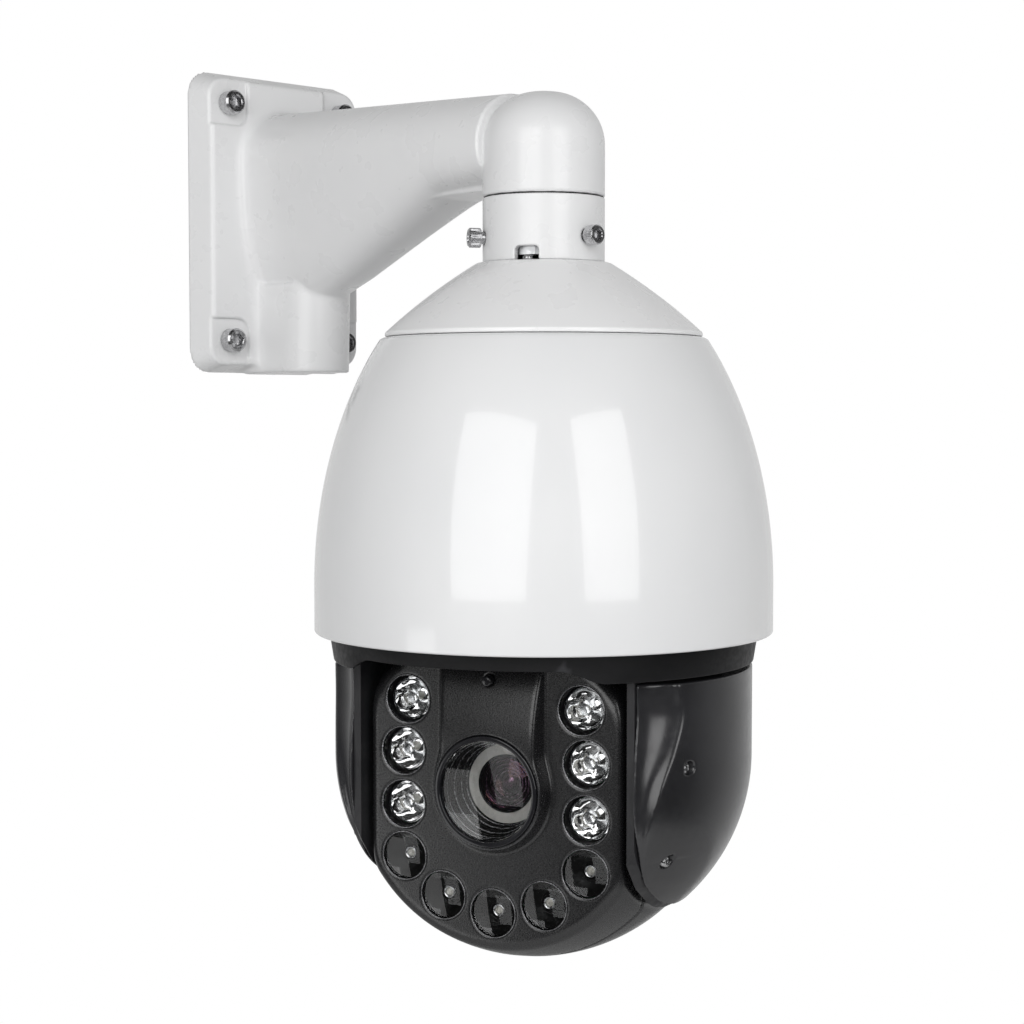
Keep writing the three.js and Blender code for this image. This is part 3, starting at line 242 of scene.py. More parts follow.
# %% Rounding a profile and turning it
def softened(profile, radius, steps=3):
    """A profile with each sharp corner replaced by a small arc. A closed one repeats its start."""
    closed = profile[0] == profile[-1]
    corners = [np.array(p, float) for p in (profile[:-1] if closed else profile)]
    soft = []
    for i, here in enumerate(corners):
        if not closed and i in (0, len(corners) - 1):
            soft.append(tuple(here))
            continue
        before, after = corners[i - 1] - here, corners[(i + 1) % len(corners)] - here
        a, b = np.linalg.norm(before), np.linalg.norm(after)
        straight = np.dot(before, after) / (a * b) < -0.94
        if straight:
            soft.append(tuple(here))
            continue
        r = min(radius, 0.45 * a, 0.45 * b)
        start, end = here + before / a * r, here + after / b * r
        for k in range(steps + 1):
            t = k / steps
            soft.append(tuple((1 - t) ** 2 * start + 2 * t * (1 - t) * here + t * t * end))
    return soft + [soft[0]] if closed else soft


def turned(profile, sides=160, change=None):
    """A profile of (radius, height) turned about +Z, each point changed by its angle if asked."""
    points, faces = [], []
    closed = profile[0] == profile[-1]
    rows = profile[:-1] if closed else profile
    for row in rows:
        for i in range(sides):
            angle = 2 * math.pi * i / sides
            radius, height = change(*row, angle) if change else row
            points.append((radius * math.cos(angle), radius * math.sin(angle), height))
    spans = len(rows) if closed else len(rows) - 1
    for j in range(spans):
        for i in range(sides):
            a, b = j * sides, ((j + 1) % len(rows)) * sides
            k = (i + 1) % sides
            faces.append((a + i, a + k, b + k, b + i))
    return points, faces


def hoop(inside, outside, low, high, radius):
    """The closed profile of a ring with a square section and softened corners."""
    section = [(inside, low), (outside, low), (outside, high), (inside, high), (inside, low)]
    return softened(section, radius)


def moved(shape, x=0, y=0, z=0):
    points, faces = shape
    return [(px + x, py + y, pz + z) for px, py, pz in points], faces


def both(*shapes):
    """Several shapes as one list of points and faces."""
    points, faces = [], []
    for some_points, some_faces in shapes:
        start = len(points)
        points += list(some_points)
        faces += [tuple(i + start for i in f) for f in some_faces]
    return points, faces


print("a turned ring has", len(turned([(10, 0), (12, 0), (12, 2), (10, 2), (10, 0)])[1]), "faces")

# %% [markdown]
# ## Cast and moulded shapes
# A casting has no sharp inside corner: metal flows round a fillet. Modelling every fillet by hand
# is slow, so castings and mouldings here are written as a field: a function that is negative
# inside the solid. Fields blend with a rounded minimum, which is the fillet.
# A surface net then lays a mesh where the field is zero: one point in each grid cell that the
# surface crosses, moved onto the surface, and one face over each grid edge that it crosses.

# %% Fields that blend
def union(a, b, blend=0.0):
    """Two solids joined, with a fillet of about this size in the corner between them."""
    if blend <= 0:
        return np.minimum(a, b)
    h = np.maximum(blend - np.abs(a - b), 0) / blend
    return np.minimum(a, b) - h * h * blend / 4


def common(a, b, blend=0.0):
    return -union(-a, -b, blend)


def without(a, b, blend=0.0):
    return common(a, -b, blend)


def rounded_plan(x, y, half_x, half_y, radius):
    """Distance from a rectangle with rounded corners, in its plane."""
    qx, qy = np.abs(x) - half_x + radius, np.abs(y) - half_y + radius
    outside = np.hypot(np.maximum(qx, 0), np.maximum(qy, 0))
    return outside + np.minimum(np.maximum(qx, qy), 0) - radius


# %% Surface net
def net(field, low, high, step):
    """Points and faces on the zero surface of a field between two corners, in millimetres."""
    axes = [np.arange(a, b + step, step) for a, b in zip(low, high)]
    grid = np.meshgrid(*axes, indexing="ij", sparse=True)
    value = np.broadcast_to(field(*grid), [len(a) for a in axes]).astype(np.float64)
    inside = value < 0
    count = [len(a) - 1 for a in axes]
    corner = [(i, j, k) for i in (0, 1) for j in (0, 1) for k in (0, 1)]
    part = [inside[i:i + count[0], j:j + count[1], k:k + count[2]] for i, j, k in corner]
    total = sum(p.astype(np.int8) for p in part)
    cells = np.argwhere((total > 0) & (total < 8))
    number = -np.ones(count, np.int64)
    number[tuple(cells.T)] = np.arange(len(cells))
    spot, weight = np.zeros((len(cells), 3)), np.zeros(len(cells))
    for a in corner:
        for axis in range(3):
            if a[axis]:
                continue
            b = tuple(v + (n == axis) for n, v in enumerate(a))
            va = value[tuple((cells + a).T)]
            vb = value[tuple((cells + b).T)]
            crossing = (va < 0) != (vb < 0)
            t = np.where(crossing, va / np.where(crossing, va - vb, 1), 0)
            here = cells + np.array(a) + t[:, None] * np.eye(3)[axis]
            spot += here * crossing[:, None]
            weight += crossing
    points = np.array([a[0] for a in axes]) + spot / weight[:, None] * step
    for _ in range(3):
        points = settled(field, points, step)
    faces = []
    for axis in range(3):
        one, two = (axis + 1) % 3, (axis + 2) % 3
        lower = np.take(inside, range(count[axis]), axis)
        upper = np.take(inside, range(1, count[axis] + 1), axis)
        change = np.argwhere(lower != upper)
        keep = (change[:, one] > 0) & (change[:, one] < count[one])
        keep &= (change[:, two] > 0) & (change[:, two] < count[two])
        change = change[keep]
        quad = []
        for da, db in ((1, 1), (0, 1), (0, 0), (1, 0)):
            cell = change.copy()
            cell[:, one] -= da
            cell[:, two] -= db
            quad.append(number[tuple(cell.T)])
        quad = np.stack(quad, 1)
        flip = ~lower[tuple(change.T)]
        quad[flip] = quad[flip][:, ::-1]
        faces.append(quad)
    return points, [tuple(f) for f in np.concatenate(faces).tolist()]


def settled(field, points, step):
    """Points moved along the field's slope onto its zero surface."""
    nudge = step * 0.1
    value = field(*points.T)
    slope = np.stack([
        (field(*(points + nudge * np.eye(3)[n]).T) - field(*(points - nudge * np.eye(3)[n]).T)) / (2 * nudge)
        for n in range(3)
    ], 1)
    size = np.maximum((slope ** 2).sum(1), 0.05)
    shift = -(value / size)[:, None] * slope
    length = np.maximum(np.linalg.norm(shift, axis=1), 1e-9)
    return points + shift * np.minimum(1, 0.4 * step / length)[:, None]


test_ball = net(lambda x, y, z: np.sqrt(x * x + y * y + z * z) - 5, (-6, -6, -6), (6, 6, 6), 1)
print("a test ball has", len(test_ball[1]), "faces")

# %% [markdown]
# ## Wall bracket
# On the real camera this is one aluminium die casting: a wall plate with drafted sides, a hollow
# arm with a rounded back, a half-round foot under it, and an elbow that the dome hangs from.
# Fields suit it well, because the arm flows out of the plate with a wide fillet.

# %% The bracket's outlines
PLATE_HALF = (56.0, 83.5)
PLATE_DEEP = 16.0
SCREWS = [(-38.7, 65.3), (38.7, 65.3), (-38.7, -65.3), (38.7, -65.3)]
ARM_HALF = 30.0
SHOULDER = 26.0


def arm_top(out):
    return 62.5 + (51.2 - 62.5) * out / REACH


def arm_bottom(out):
    """Height of the arm's underside at a distance from the wall."""
    outs = [0, 56, 79, 99, 123, 151, 165, 172, 226]
    heights = [-43.5, -43, -34.3, -25.4, -14.6, -2.2, 3.4, 4.6, 8]
    return np.interp(out, outs, heights)


def rounded_end(x, z, half, top, radius):
    """Distance from an upright bar whose top is at a height and whose top edges are rounded."""
    qx, qz = np.abs(x) - half + radius, z - top + radius
    return np.hypot(np.maximum(qx, 0), np.maximum(qz, 0)) + np.minimum(np.maximum(qx, qz), 0) - radius


def arm_field(x, out, z, inset=0.0):
    """The arm's section: rounded above its middle, and a fuller-than-round belly below."""
    half, radius = ARM_HALF - inset, SHOULDER - inset
    middle = arm_top(out) - SHOULDER
    upper = rounded_end(x, z, half, middle + radius, radius)
    depth = middle - arm_bottom(out) - inset
    u, v = np.abs(x) / half, np.maximum(middle - z, 0) / depth
    belly = ((u ** 2.5 + v ** 2.5 + 1e-9) ** 0.4 - 1) * np.minimum(half, depth)
    return np.where(z > middle, upper, belly)


def elbow_field(x, out, z, inset=0.0):
    far = np.hypot(x, out - REACH)
    return rounded_end(far, z, ARM_HALF - inset, 51.2 - inset, SHOULDER - inset)


print("arm falls", round(arm_top(0) - arm_top(REACH), 1), "mm from wall to neck")


# %% The bracket's field
def pocket_field(x, out, z):
    """The sunk pads in the plate's corners, open to its edges."""
    across, up = 26.7 - np.abs(x) + 7, 53.3 - np.abs(z) + 7
    inner = np.hypot(np.maximum(across, 0), np.maximum(up, 0)) + np.minimum(np.maximum(across, up), 0) - 7
    return np.maximum(inner, 14 - out)


def bracket_field(x, y, z):
    out = -y
    draft = 5.5 * np.clip(out, 0, PLATE_DEEP) / PLATE_DEEP
    plate = rounded_plan(x, z, PLATE_HALF[0] - draft, PLATE_HALF[1] - draft, 13 - draft / 2)
    plate = common(plate, out - PLATE_DEEP, 2.4)
    plate = without(plate, pocket_field(x, out, z), 1.0)
    arm = common(arm_field(x, out, z), out - (REACH - ARM_HALF + 14))
    arm = common(arm, 8 - out)
    side = np.abs(x) - 20.5
    nose = np.hypot(x, out - 38.5 - (z + 83.5) * 0.03) - 20.5
    foot = np.where(out > 38.5, nose, side)
    foot = common(common(foot, z + 34), 6 - out)
    foot = common(foot, -83.2 - z, 1.5)
    elbow = common(elbow_field(x, out, z), 0.35 - z, 0.5)
    web = np.maximum(np.abs(x) - 15, np.maximum(4.4 - z, (z - 4.4) * 0.886 - (out - 158) * 0.464))
    web = np.maximum(web, out - 200)
    web_pocket = np.maximum(np.abs(x + 15) - 7, 7.0 - z)
    web_pocket = np.maximum(web_pocket, np.maximum(z - 12.8, 0.886 * (z - 7) - 0.464 * (out - 184)))
    arms = union(union(arm, elbow), without(web, np.maximum(web_pocket, out - 195), 0.5), 1.6)
    body = union(union(arms, foot, 1.2), plate, 6.5)
    body = np.maximum(body, -out)
    return without(body, bracket_hollow(x, out, z), 0.6)


def bracket_hollow(x, out, z):
    """The cable way from the wall through the arm to the neck, and the screw holes."""
    way = common(arm_field(x, out, z, 4.0), np.maximum(8 - out, out - 200))
    way = np.minimum(way, np.maximum(elbow_field(x, out, z, 4.0), 15.9 - z))
    way = np.minimum(way, np.maximum(np.hypot(x, out - REACH) - 24.3, z - 16))
    way = np.minimum(way, np.maximum(rounded_plan(x, z - 36.5, 17, 17, 2), out - 12))
    for sx, sz in SCREWS:
        way = np.minimum(way, np.maximum(np.hypot(x - sx, z - sz) - 4.5, out - 20))
    return way


bracket_shape = net(bracket_field, (-58, -258, -86), (58, 2.2, 86), 1.25)
# A net's points land a few microns off, and none may stand behind the wall's face.
bracket_shape[0][:, 1] = np.minimum(bracket_shape[0][:, 1], 0)
print("bracket faces:", len(bracket_shape[1]))

# %% Bracket piece
piece("bracket_casting", bracket_shape, wall_place, "bracket_and_dome", "white_paint", ["wall_bracket"], 180)

# %% [markdown]
# ## Socket head screws
# The wall screws are M8 and the collar's are M6, in stainless steel with a hexagon socket.
# A ring of points can slide from a circle to a hexagon, so the head, its chamfer and its socket
# are all one turned skin whose radius changes with the angle.

# %% One screw
def socket_screw(diameter, length, knurl=0.0):
    """A screw along +Z: shank below z 0, head above, with a socket sunk in its top."""
    sides, head = 144, 0.8 * diameter
    flat = 0.4 * diameter
    bevel = 0.06 * diameter
    grip = [(head, 0.3), (head, diameter - bevel * 2)]
    hexagon = [
        (flat + 0.15, diameter - 0.3), (flat, diameter - 0.8),
        (flat, 0.5 * diameter), (flat * 0.9, 0.46 * diameter),
    ]
    profile = [
        (0.0, -length), (diameter / 2 - 0.4, -length), (diameter / 2, -length + 0.6),
        (diameter / 2, 0), (head - 0.3, 0), *grip, (head - bevel, diameter - bevel),
        (head - 2 * bevel, diameter), (flat * 1.22, diameter), *hexagon, (0.0, 0.38 * diameter),
    ]

    def shaped(radius, height, angle):
        """Six flats in the socket, and four-step knurls round the head."""
        if (radius, height) in hexagon:
            radius = radius / math.cos((angle + math.pi / 6) % (math.pi / 3) - math.pi / 6)
        elif knurl and (radius, height) in grip:
            radius = radius - knurl * (round(angle * sides / (2 * math.pi)) % 4 in (1, 2))
        return radius, height

    return turned(profile, sides, shaped)


def facing_out(x, z, out, turn=0.0):
    """A frame whose +Z points away from the wall, at a place on the plate."""
    tipped = Matrix.Rotation(math.pi / 2, 4, "X") @ Matrix.Rotation(turn, 4, "Z")
    return Matrix.Translation((x, -out, z)) @ tipped


for n, (x, z) in enumerate(SCREWS):
    place = facing_out(x, z, 14.3, math.radians(17 * n + 8))
    piece(f"wall_bolt_{n + 1}", socket_screw(8, 14), place, "bracket_and_dome", "stainless",
          [f"wall_screw_{n + 1}"])
print("wall screws:", len(SCREWS))

# %% [markdown]
# ## Neck: collar, clamp screws and earth screw
# The dome hangs on a spigot, and the collar clamps it with three thumb screws a third of a turn
# apart. The collar is a short tube with three drilled holes and a notch for the earth screw, so
# it is another small field.

# %% Collar and its screws
COLLAR_TURNS = [0, 120, 240]
NOTCH_TURN = -60


def way_out(degrees):
    """A direction round the neck, from the arm's own direction."""
    angle = math.radians(degrees)
    return math.sin(angle), -math.cos(angle)


def collar_field(x, y, z):
    far = np.hypot(x, y)
    tube = common(common(far - 30.0, 24.3 - far, 0.6), np.maximum(z + 0.35, -31.7 - z), 0.5)
    for degrees in COLLAR_TURNS:
        dx, dy = way_out(degrees)
        across = x * dy - y * dx
        hole = np.maximum(np.hypot(across, z + 20) - 3.3, -(x * dx + y * dy))
        tube = without(tube, hole, 0.5)
    dx, dy = way_out(NOTCH_TURN)
    notch = np.maximum(rounded_plan(x * dy - y * dx, z + 31.7, 6, 6.5, 2.2), 20 - (x * dx + y * dy))
    return without(tube, notch, 0.5)


collar_shape = net(collar_field, (-31, -31, -33), (31, 31, 0.5), 0.75)
piece("collar_casting", collar_shape, neck_place, "bracket_and_dome", "white_paint", ["neck_collar"], 180)


def round_neck(degrees, far, z):
    """A frame on the neck's side whose +Z points outwards."""
    turn = Matrix.Rotation(math.radians(degrees), 4, "Z")
    return neck_place @ turn @ Matrix.Translation((0, -far, z)) @ Matrix.Rotation(math.pi / 2, 4, "X")


for n, degrees in enumerate(COLLAR_TURNS):
    place = round_neck(degrees, 31.8, -20)
    piece(f"clamp_screw_{n + 1}", socket_screw(6, 7.5, 0.25), place, "bracket_and_dome", "stainless",
          [f"collar_screw_{n + 1}"])
print("collar faces:", len(collar_shape[1]))

# %% Earth screw
earth_profile = [(0, -2), (1.3, -2), (1.3, 0.3), (2.5, 0.3), (2.6, 0.6), (2.6, 1.4), (2.2, 2.0),
                 (1.4, 2.45), (0, 2.6)]
dx, dy = way_out(NOTCH_TURN)
earth = moved(turned(earth_profile, 48), 27 * dx, 27 * dy, -32)
piece("earth_stud", earth, neck_place, "bracket_and_dome", "stainless", ["earth_screw"])
print("earth screw at", round(27 * dx, 1), round(27 * dy, 1))

# %% [markdown]
# ## Cap and dome
# The cap is a painted casting; the dome under it is a deep glossy moulding. Their profiles come
# from an ellipse, sampled closely enough that a soft box's straight edge stays straight when
# the shell mirrors it. A Subdivision Surface would also do, but it moves the outline a little.

# %% Cap
DOME_R, DOME_RISE, DOME_WIDEST = 113.0, 172.0, -190.0
CAP_SEAM = -68.2


def dome_radius(z, inset=0.0):
    rise = max(0.0, z - DOME_WIDEST) / (DOME_RISE - inset)
    return (DOME_R - inset) * math.sqrt(max(0.0, 1 - rise * rise))


CAP_R = dome_radius(CAP_SEAM) - 1.8
bend = [(33.0, -32.0), ((33 + CAP_R) / 2 + 2, -47.1), (CAP_R - 1, CAP_SEAM + 3)]
cone = []
for k in range(25):
    t = k / 24
    shares = ((1 - t) ** 2, 2 * t * (1 - t), t * t)
    cone.append(tuple(sum(share * point[n] for share, point in zip(shares, bend)) for n in (0, 1)))
cap_low = CAP_SEAM + 0.15
cap_profile = [(19.0, -32.0), *cone, (CAP_R, CAP_SEAM + 2.2), (CAP_R, cap_low), (52.0, cap_low),
               (52.0, cap_low + 3), (CAP_R - 6, cap_low + 3), (30.0, -35.0), (19.0, -35.0), (19.0, -32.0)]
cap_shape = turned(softened(cap_profile, 0.9), 192)
# The cap wears a paler copy of the bracket's powder coat: painted light on its upward-facing cone.
piece("dome_cap", cap_shape, neck_place, "bracket_and_dome", "white_paint", ["top_cap"], look="cap_paint_with_painted_light")
print("cap radius", round(CAP_R, 2))

# %% Dome
dome_top = CAP_SEAM - 0.15
outer = [(dome_radius(z), z) for z in np.linspace(DOME_WIDEST, dome_top - 1, 64)]
inner = [(dome_radius(z, 3), z) for z in np.linspace(dome_top - 3, DOME_WIDEST, 32)]
dome_profile = [(110.0, -212.4), (112.2, -212.4), (DOME_R, -211.6), *outer, (CAP_R + 0.5, dome_top),
                (CAP_R - 5, dome_top), (CAP_R - 5, dome_top - 3), *inner, (110.0, -212.4)]
dome_shape = turned(softened(dome_profile, 0.7), 256)
piece("dome_moulding", dome_shape, neck_place, "bracket_and_dome", "white_shell", ["dome_shell"])
print("dome faces:", len(dome_shape[1]))

# %% [markdown]
# ## Turning skirt
# The black skirt turns inside the dome's rim. Its lower edge lifts over the head's face in a
# shallow arch. It is a turned tube whose lower rows are raised where they pass the front and back.

# %% Skirt
SKIRT_R, SKIRT_LOW = 105.5, -226.0


def arch(radius, height, angle):
    """Lifts the skirt's lower rows in front and behind."""
    across = abs(radius * math.cos(angle))
    t = min(1.0, max(0.0, (66.4 - across) / 18))
    lift = 6 * t * t * (3 - 2 * t)
    share = min(1.0, max(0.0, (-213.4 - height) / 12.6))
    return radius, height + lift * share


skirt_profile = softened([
    (100.5, SKIRT_LOW), (103.5, SKIRT_LOW), (104.5, -219.7), (SKIRT_R, -213.4), (SKIRT_R, -183.0),
    (102.5, -183.0), (102.5, -213.4), (100.5, SKIRT_LOW),
], 0.8)
skirt_shape = turned(skirt_profile, 288, arch)
piece("skirt_moulding", skirt_shape, yoke_place, "yoke", "black_satin", ["yoke_skirt"], look="skirt_satin")
print("skirt faces:", len(skirt_shape[1]))

# %% [markdown]
# ## Ear covers
# Each ear hides an arm of the yoke and, on the right, the tilt motor. Its outside is the lower
# half of a turned egg, and its front edge is a hollow-ground band whose crease swings in an S.
# The band is a plane in plan that leans from the inner edge to the crease, pressed in a little.

# %% Ear field
EAR_R, EAR_TOP, EAR_BEND, EAR_ROUND, EAR_IN = 103.0, -228.0, -272.0, 98.0, 73.0
CREASE_AT = [-342, -321, -299, -276, -258, -242, -229]
CREASE_FORWARD = [30, 50, 60.2, 58.6, 51.5, 47.5, 50.0]
EDGE_FORWARD = [42, 57, 64.4, 65.6, 64.2, 61.8, 62.5]


def egg_field(x, y, z, inset=0.0):
    """Distance from the ears' turned outside: upright above, an ellipse below."""
    wide, deep = EAR_R - inset, EAR_ROUND - inset
    far = np.hypot(x, y)
    drop = np.minimum(z - EAR_BEND, 0) / deep
    return (np.sqrt((far / wide) ** 2 + drop ** 2) - 1) * wide


def smooth_through(z, heights, values):
    """A smooth curve through values at heights, as a cubic through each pair."""
    h, v = np.array(heights, float), np.array(values, float)
    slope = np.gradient(v, h)
    i = np.clip(np.searchsorted(h, z) - 1, 0, len(h) - 2)
    w = h[i + 1] - h[i]
    t = np.clip((z - h[i]) / w, 0, 1)
    start = (v[i] * (1 + 2 * t) + slope[i] * w * t) * (1 - t) ** 2
    end = (v[i + 1] * (3 - 2 * t) - slope[i + 1] * w * (1 - t)) * t * t
    return start + end


def band_field(x, forward, z):
    """Positive in front of the hollow band along an ear's front edge."""
    wide = EAR_R * np.sqrt(np.maximum(1 - (np.minimum(z - EAR_BEND, 0) / EAR_ROUND) ** 2, 0.05))
    crease = np.minimum(smooth_through(z, CREASE_AT, CREASE_FORWARD), wide * 0.66)
    edge = smooth_through(z, CREASE_AT, EDGE_FORWARD)
    out = np.sqrt(np.maximum(wide ** 2 - crease ** 2, (EAR_IN + 3) ** 2))
    along_x, along_f = out - EAR_IN, crease - edge
    length = np.hypot(along_x, along_f)
    away = (-(x - EAR_IN) * along_f + (forward - edge) * along_x) / length
    share = np.clip(((x - EAR_IN) * along_x + (forward - edge) * along_f) / length ** 2, 0, 1)
    return away + 2.4 * 4 * share * (1 - share)


EAR_SCREWS = [("front", 14.5), ("low", -29.5)]
EAR_SCREW_FORWARD = 44


def screw_seat(up):
    """How far out an ear's screw head sits, 5 mm under the egg's surface."""
    wide = EAR_R * math.sqrt(1 - (min(TILT_Z + up - EAR_BEND, 0) / EAR_ROUND) ** 2)
    return math.sqrt(wide ** 2 - EAR_SCREW_FORWARD ** 2) - 5


def ear_field(x, y, z):
    """The right ear. The left one is its mirror image."""
    body = common(egg_field(x, y, z), EAR_IN - x, 0.8)
    body = common(body, z - EAR_TOP, 0.8)
    body = common(body, band_field(x, -y, z), 1.4)
    body = common(body, band_field(x, y, z), 1.4)
    room = np.maximum(egg_field(x, y, z, 2.5), np.maximum(EAR_IN - 2 - x, z - EAR_TOP + 2.5))
    room = np.maximum(room, np.maximum(band_field(x, -y, z), band_field(x, y, z)) + 2.5)
    for _, up in EAR_SCREWS:
        room = np.maximum(room, 4.9 - np.hypot(y + EAR_SCREW_FORWARD, z - TILT_Z - up))
    body = np.maximum(body, -room)
    for _, up in EAR_SCREWS:
        far = np.hypot(y + EAR_SCREW_FORWARD, z - TILT_Z - up)
        body = without(body, np.maximum(far - 3.2, screw_seat(up) - 0.3 - x), 0.7)
        body = np.maximum(body, 2.1 - far)
    return body


ear_points, ear_faces = net(ear_field, (71.5, -68, -343), (104.5, 68, -226.5), 0.85)
print("ear faces:", len(ear_faces))

# %% Ears and their screws
for word, side in (("left", -1), ("right", 1)):
    shape = ear_points * np.array([side, 1, 1]), ear_faces
    piece(f"ear_moulding_{word}", shape, yoke_place, "yoke", "black_satin", [f"ear_cover_{word}"],
          180, "ear_satin_painted_sheen")
    for level, up in EAR_SCREWS:
        seat = screw_seat(up)
        out = Matrix.Translation((side * seat, -EAR_SCREW_FORWARD, TILT_Z + up))
        out = yoke_place @ out @ Matrix.Rotation(side * math.pi / 2, 4, "Y")
        piece(f"ear_bolt_{word}_{level}", socket_screw(3.6, seat - EAR_IN), out, "yoke", "stainless",
              [f"ear_screw_{word}_{level}"])
print("ear screws: 4")

# %% [markdown]
# ## Camera head
# The head is a slice of a ball with its nose cut flat. One front moulding carries the lamps, the
# keyhole hood round the lens and a soft edge all round. Field blends give those soft edges.
# The hood leans back a little towards its top, which is why it catches the light there.
# Here +X is to the camera's right, +Y up and +Z forward, from the tilt axis.

# %% Head outlines
HEAD_R, HEAD_NOSE, HEAD_HALF, PANEL = 90.0, 110.0, 65.6, 58.6
LAMPS = [(-45, 40), (45, 40), (-47.5, 14.9), (47.5, 14.9), (-47.5, -10.9), (47.5, -10.9)]
LOW_ARC, LOW_STEP = 59.3, math.radians(26.3)
LOW_LAMPS = [(LOW_ARC * math.sin(LOW_STEP * k), -LOW_ARC * math.cos(LOW_STEP * k)) for k in range(-2, 3)]
HOOD_FRONT = 67.0
SHELL_WALL = 2.6


def head_field(x, up, forward, inset=0.0, soft=4.0):
    """The whole head, set in by some amount, with its front and side edges rounded."""
    wide = HEAD_R - inset
    long = np.where(forward > 0, HEAD_NOSE - inset, wide)
    ball_part = (np.sqrt((np.hypot(x, up) / wide) ** 2 + (forward / long) ** 2) - 1) * wide
    ball_part = common(ball_part, np.abs(x) - (HEAD_HALF - inset), soft * 0.8)
    return common(ball_part, forward - (PANEL - inset), soft)


def head_shell(x, up, forward):
    """The head hollowed to a thin wall."""
    return np.maximum(head_field(x, up, forward), -head_field(x, up, forward, SHELL_WALL, 3.0))


def hood_plan(x, up):
    """The keyhole round the lens: a circle with a straight-sided shade above it."""
    circle = np.hypot(x, up) - 27.6
    shade = np.maximum(np.abs(x) - 24.3, np.maximum(-up, up - 62))
    return union(circle, shade, 3.0)


def front_field(x, up, forward):
    shell = head_shell(x, up, forward)
    rise = np.clip((forward - PANEL) / (HOOD_FRONT - PANEL), -0.5, 1)
    lean = np.maximum(up - 20, 0) ** 2 / 230
    hood = common(hood_plan(x, up) - 2.6 * (1 - rise), forward - HOOD_FRONT + lean, 2.0)
    hood = common(hood, up - 58.5, 1.5)
    hood = np.maximum(hood, 56 - forward)
    body = union(shell, hood, 1.6)
    body = np.maximum(body, 32.8 - forward)
    for lx, ly in LAMPS + LOW_LAMPS:
        body = without(body, np.maximum(np.hypot(x - lx, up - ly) - 11.5, 34 - forward), 0.9)
    body = without(body, np.hypot(x, up) - 26.5, 0.8)
    return without(body, np.hypot(x, up - 52) - 2.7, 0.5)


front_shape = net(front_field, (-67, -84, 31.5), (67, 86, 68.5), 0.8)
piece("head_face", front_shape, head_place, "head", "black_satin", ["head_front_shell"], 180)
print("head face faces:", len(front_shape[1]))

# %% Rear of the head
def rear_field(x, up, forward):
    return np.maximum(head_shell(x, up, forward), forward - 31.2)


rear_shape = net(rear_field, (-67.5, -92, -92), (67.5, 92, 33), 1.6)
piece("head_back", rear_shape, head_place, "head", "black_satin", ["head_rear_shell"], 180)
print("head back faces:", len(rear_shape[1]))

# %% [markdown]
# ## Beam lamps
# Six narrow-beam infrared lamps sit behind clear collimator lenses. Each lens is a solid cone
# that mirrors light inside itself, and its twisted flutes blur the lamp's square chip into a
# round beam. The flutes are the swirl that shows through the polished front.

# %% Collimator lens
def fluted(radius, height, angle):
    """Twists flutes into the cone's side and faint waves into its front."""
    if 42.7 < height < 54.2 and radius > 3.2:
        wave = 0.014 * math.sin(6 * angle + (height - 42) * 0.42)
        return radius * (1 + wave), height
    if height > 55.5 and 3.0 < radius < 9.6:
        return radius, height + 0.10 * math.sin(5 * angle + radius * 0.7)
    return radius, height


def on_head(name, shape, slot, stands_for=(), look=None, at=(0, 0)):
    """A piece on the head at a place on its face."""
    return piece(name, moved(shape, *at), head_place, "head", slot, stands_for, look=look)


def lamp_set(places, parts):
    """The same turned parts at each lamp, numbered from 1."""
    for n, at in enumerate(places):
        for name, shape, slot, look, node in parts:
            stands_for = [f"{node}_{n + 1}"] if node else ()
            on_head(f"{name}_{n + 1}", shape, slot, stands_for, look, at)


collimator = [
    (0, 45.6), (2.5, 45.4), (2.9, 42.7), (5.0, 42.6), (6.2, 44.8), (7.2, 47.4), (8.1, 50.0),
    (8.9, 52.2), (9.9, 52.6), (10.1, 53.0), (10.1, 54.4), (9.8, 54.8), (9.0, 55.0), (8.4, 55.5),
    (7.0, 56.1), (5.4, 56.4), (4.6, 56.3), (3.8, 55.7), (2.6, 55.5), (1.3, 55.9), (0, 56.0),
]
mirror_cup = [
    (0, 42.05), (5.9, 42.05), (7.3, 44.8), (8.4, 48.0), (9.5, 51.2), (9.8, 52.0), (9.5, 52.1),
    (9.2, 51.6), (8.1, 48.2), (7.0, 45.0), (5.6, 42.4), (0, 42.4),
]
hole_liner = [
    (10.3, 52.0), (11.3, 52.0), (11.4, 57.6), (11.15, 57.6), (10.9, 53.4), (10.3, 53.2), (10.3, 52.0),
]
emitter = [(0, 42.4), (2.3, 42.4), (2.3, 42.7), (1.9, 42.8), (1.7, 43.6), (1.1, 44.3), (0, 44.6)]
# Each hole's rim is a thin grey metal hoop: a painted highlight for a chamfer catching the light.
rim_shape = turned(hoop(11.4, 11.85, 57.9, 58.85, 0.2), 96)
lamp_set(LAMPS, [
    ("collimator", turned(collimator, 112, fluted), "clear_window", None, "beam_lens"),
    ("lamp_cup", turned(mirror_cup, 64), "aluminium", "mirror", None),
    ("lamp_chip", turned(emitter, 40), "coated_glass", "chip", None),
    ("lamp_liner", turned(hole_liner, 72), "black_gloss", "deep_black", None),
    ("lamp_rim", rim_shape, "black_gloss", "ridge_painted_highlight", None),
])
print("beam lamps:", len(LAMPS))

# %% [markdown]
# ## Wide lamps
# Five flood lamps sit lower, in black cups behind flat windows. Each shows a small silver ring
# with its chip. The engineering model's clear strip becomes a round window in each hole.

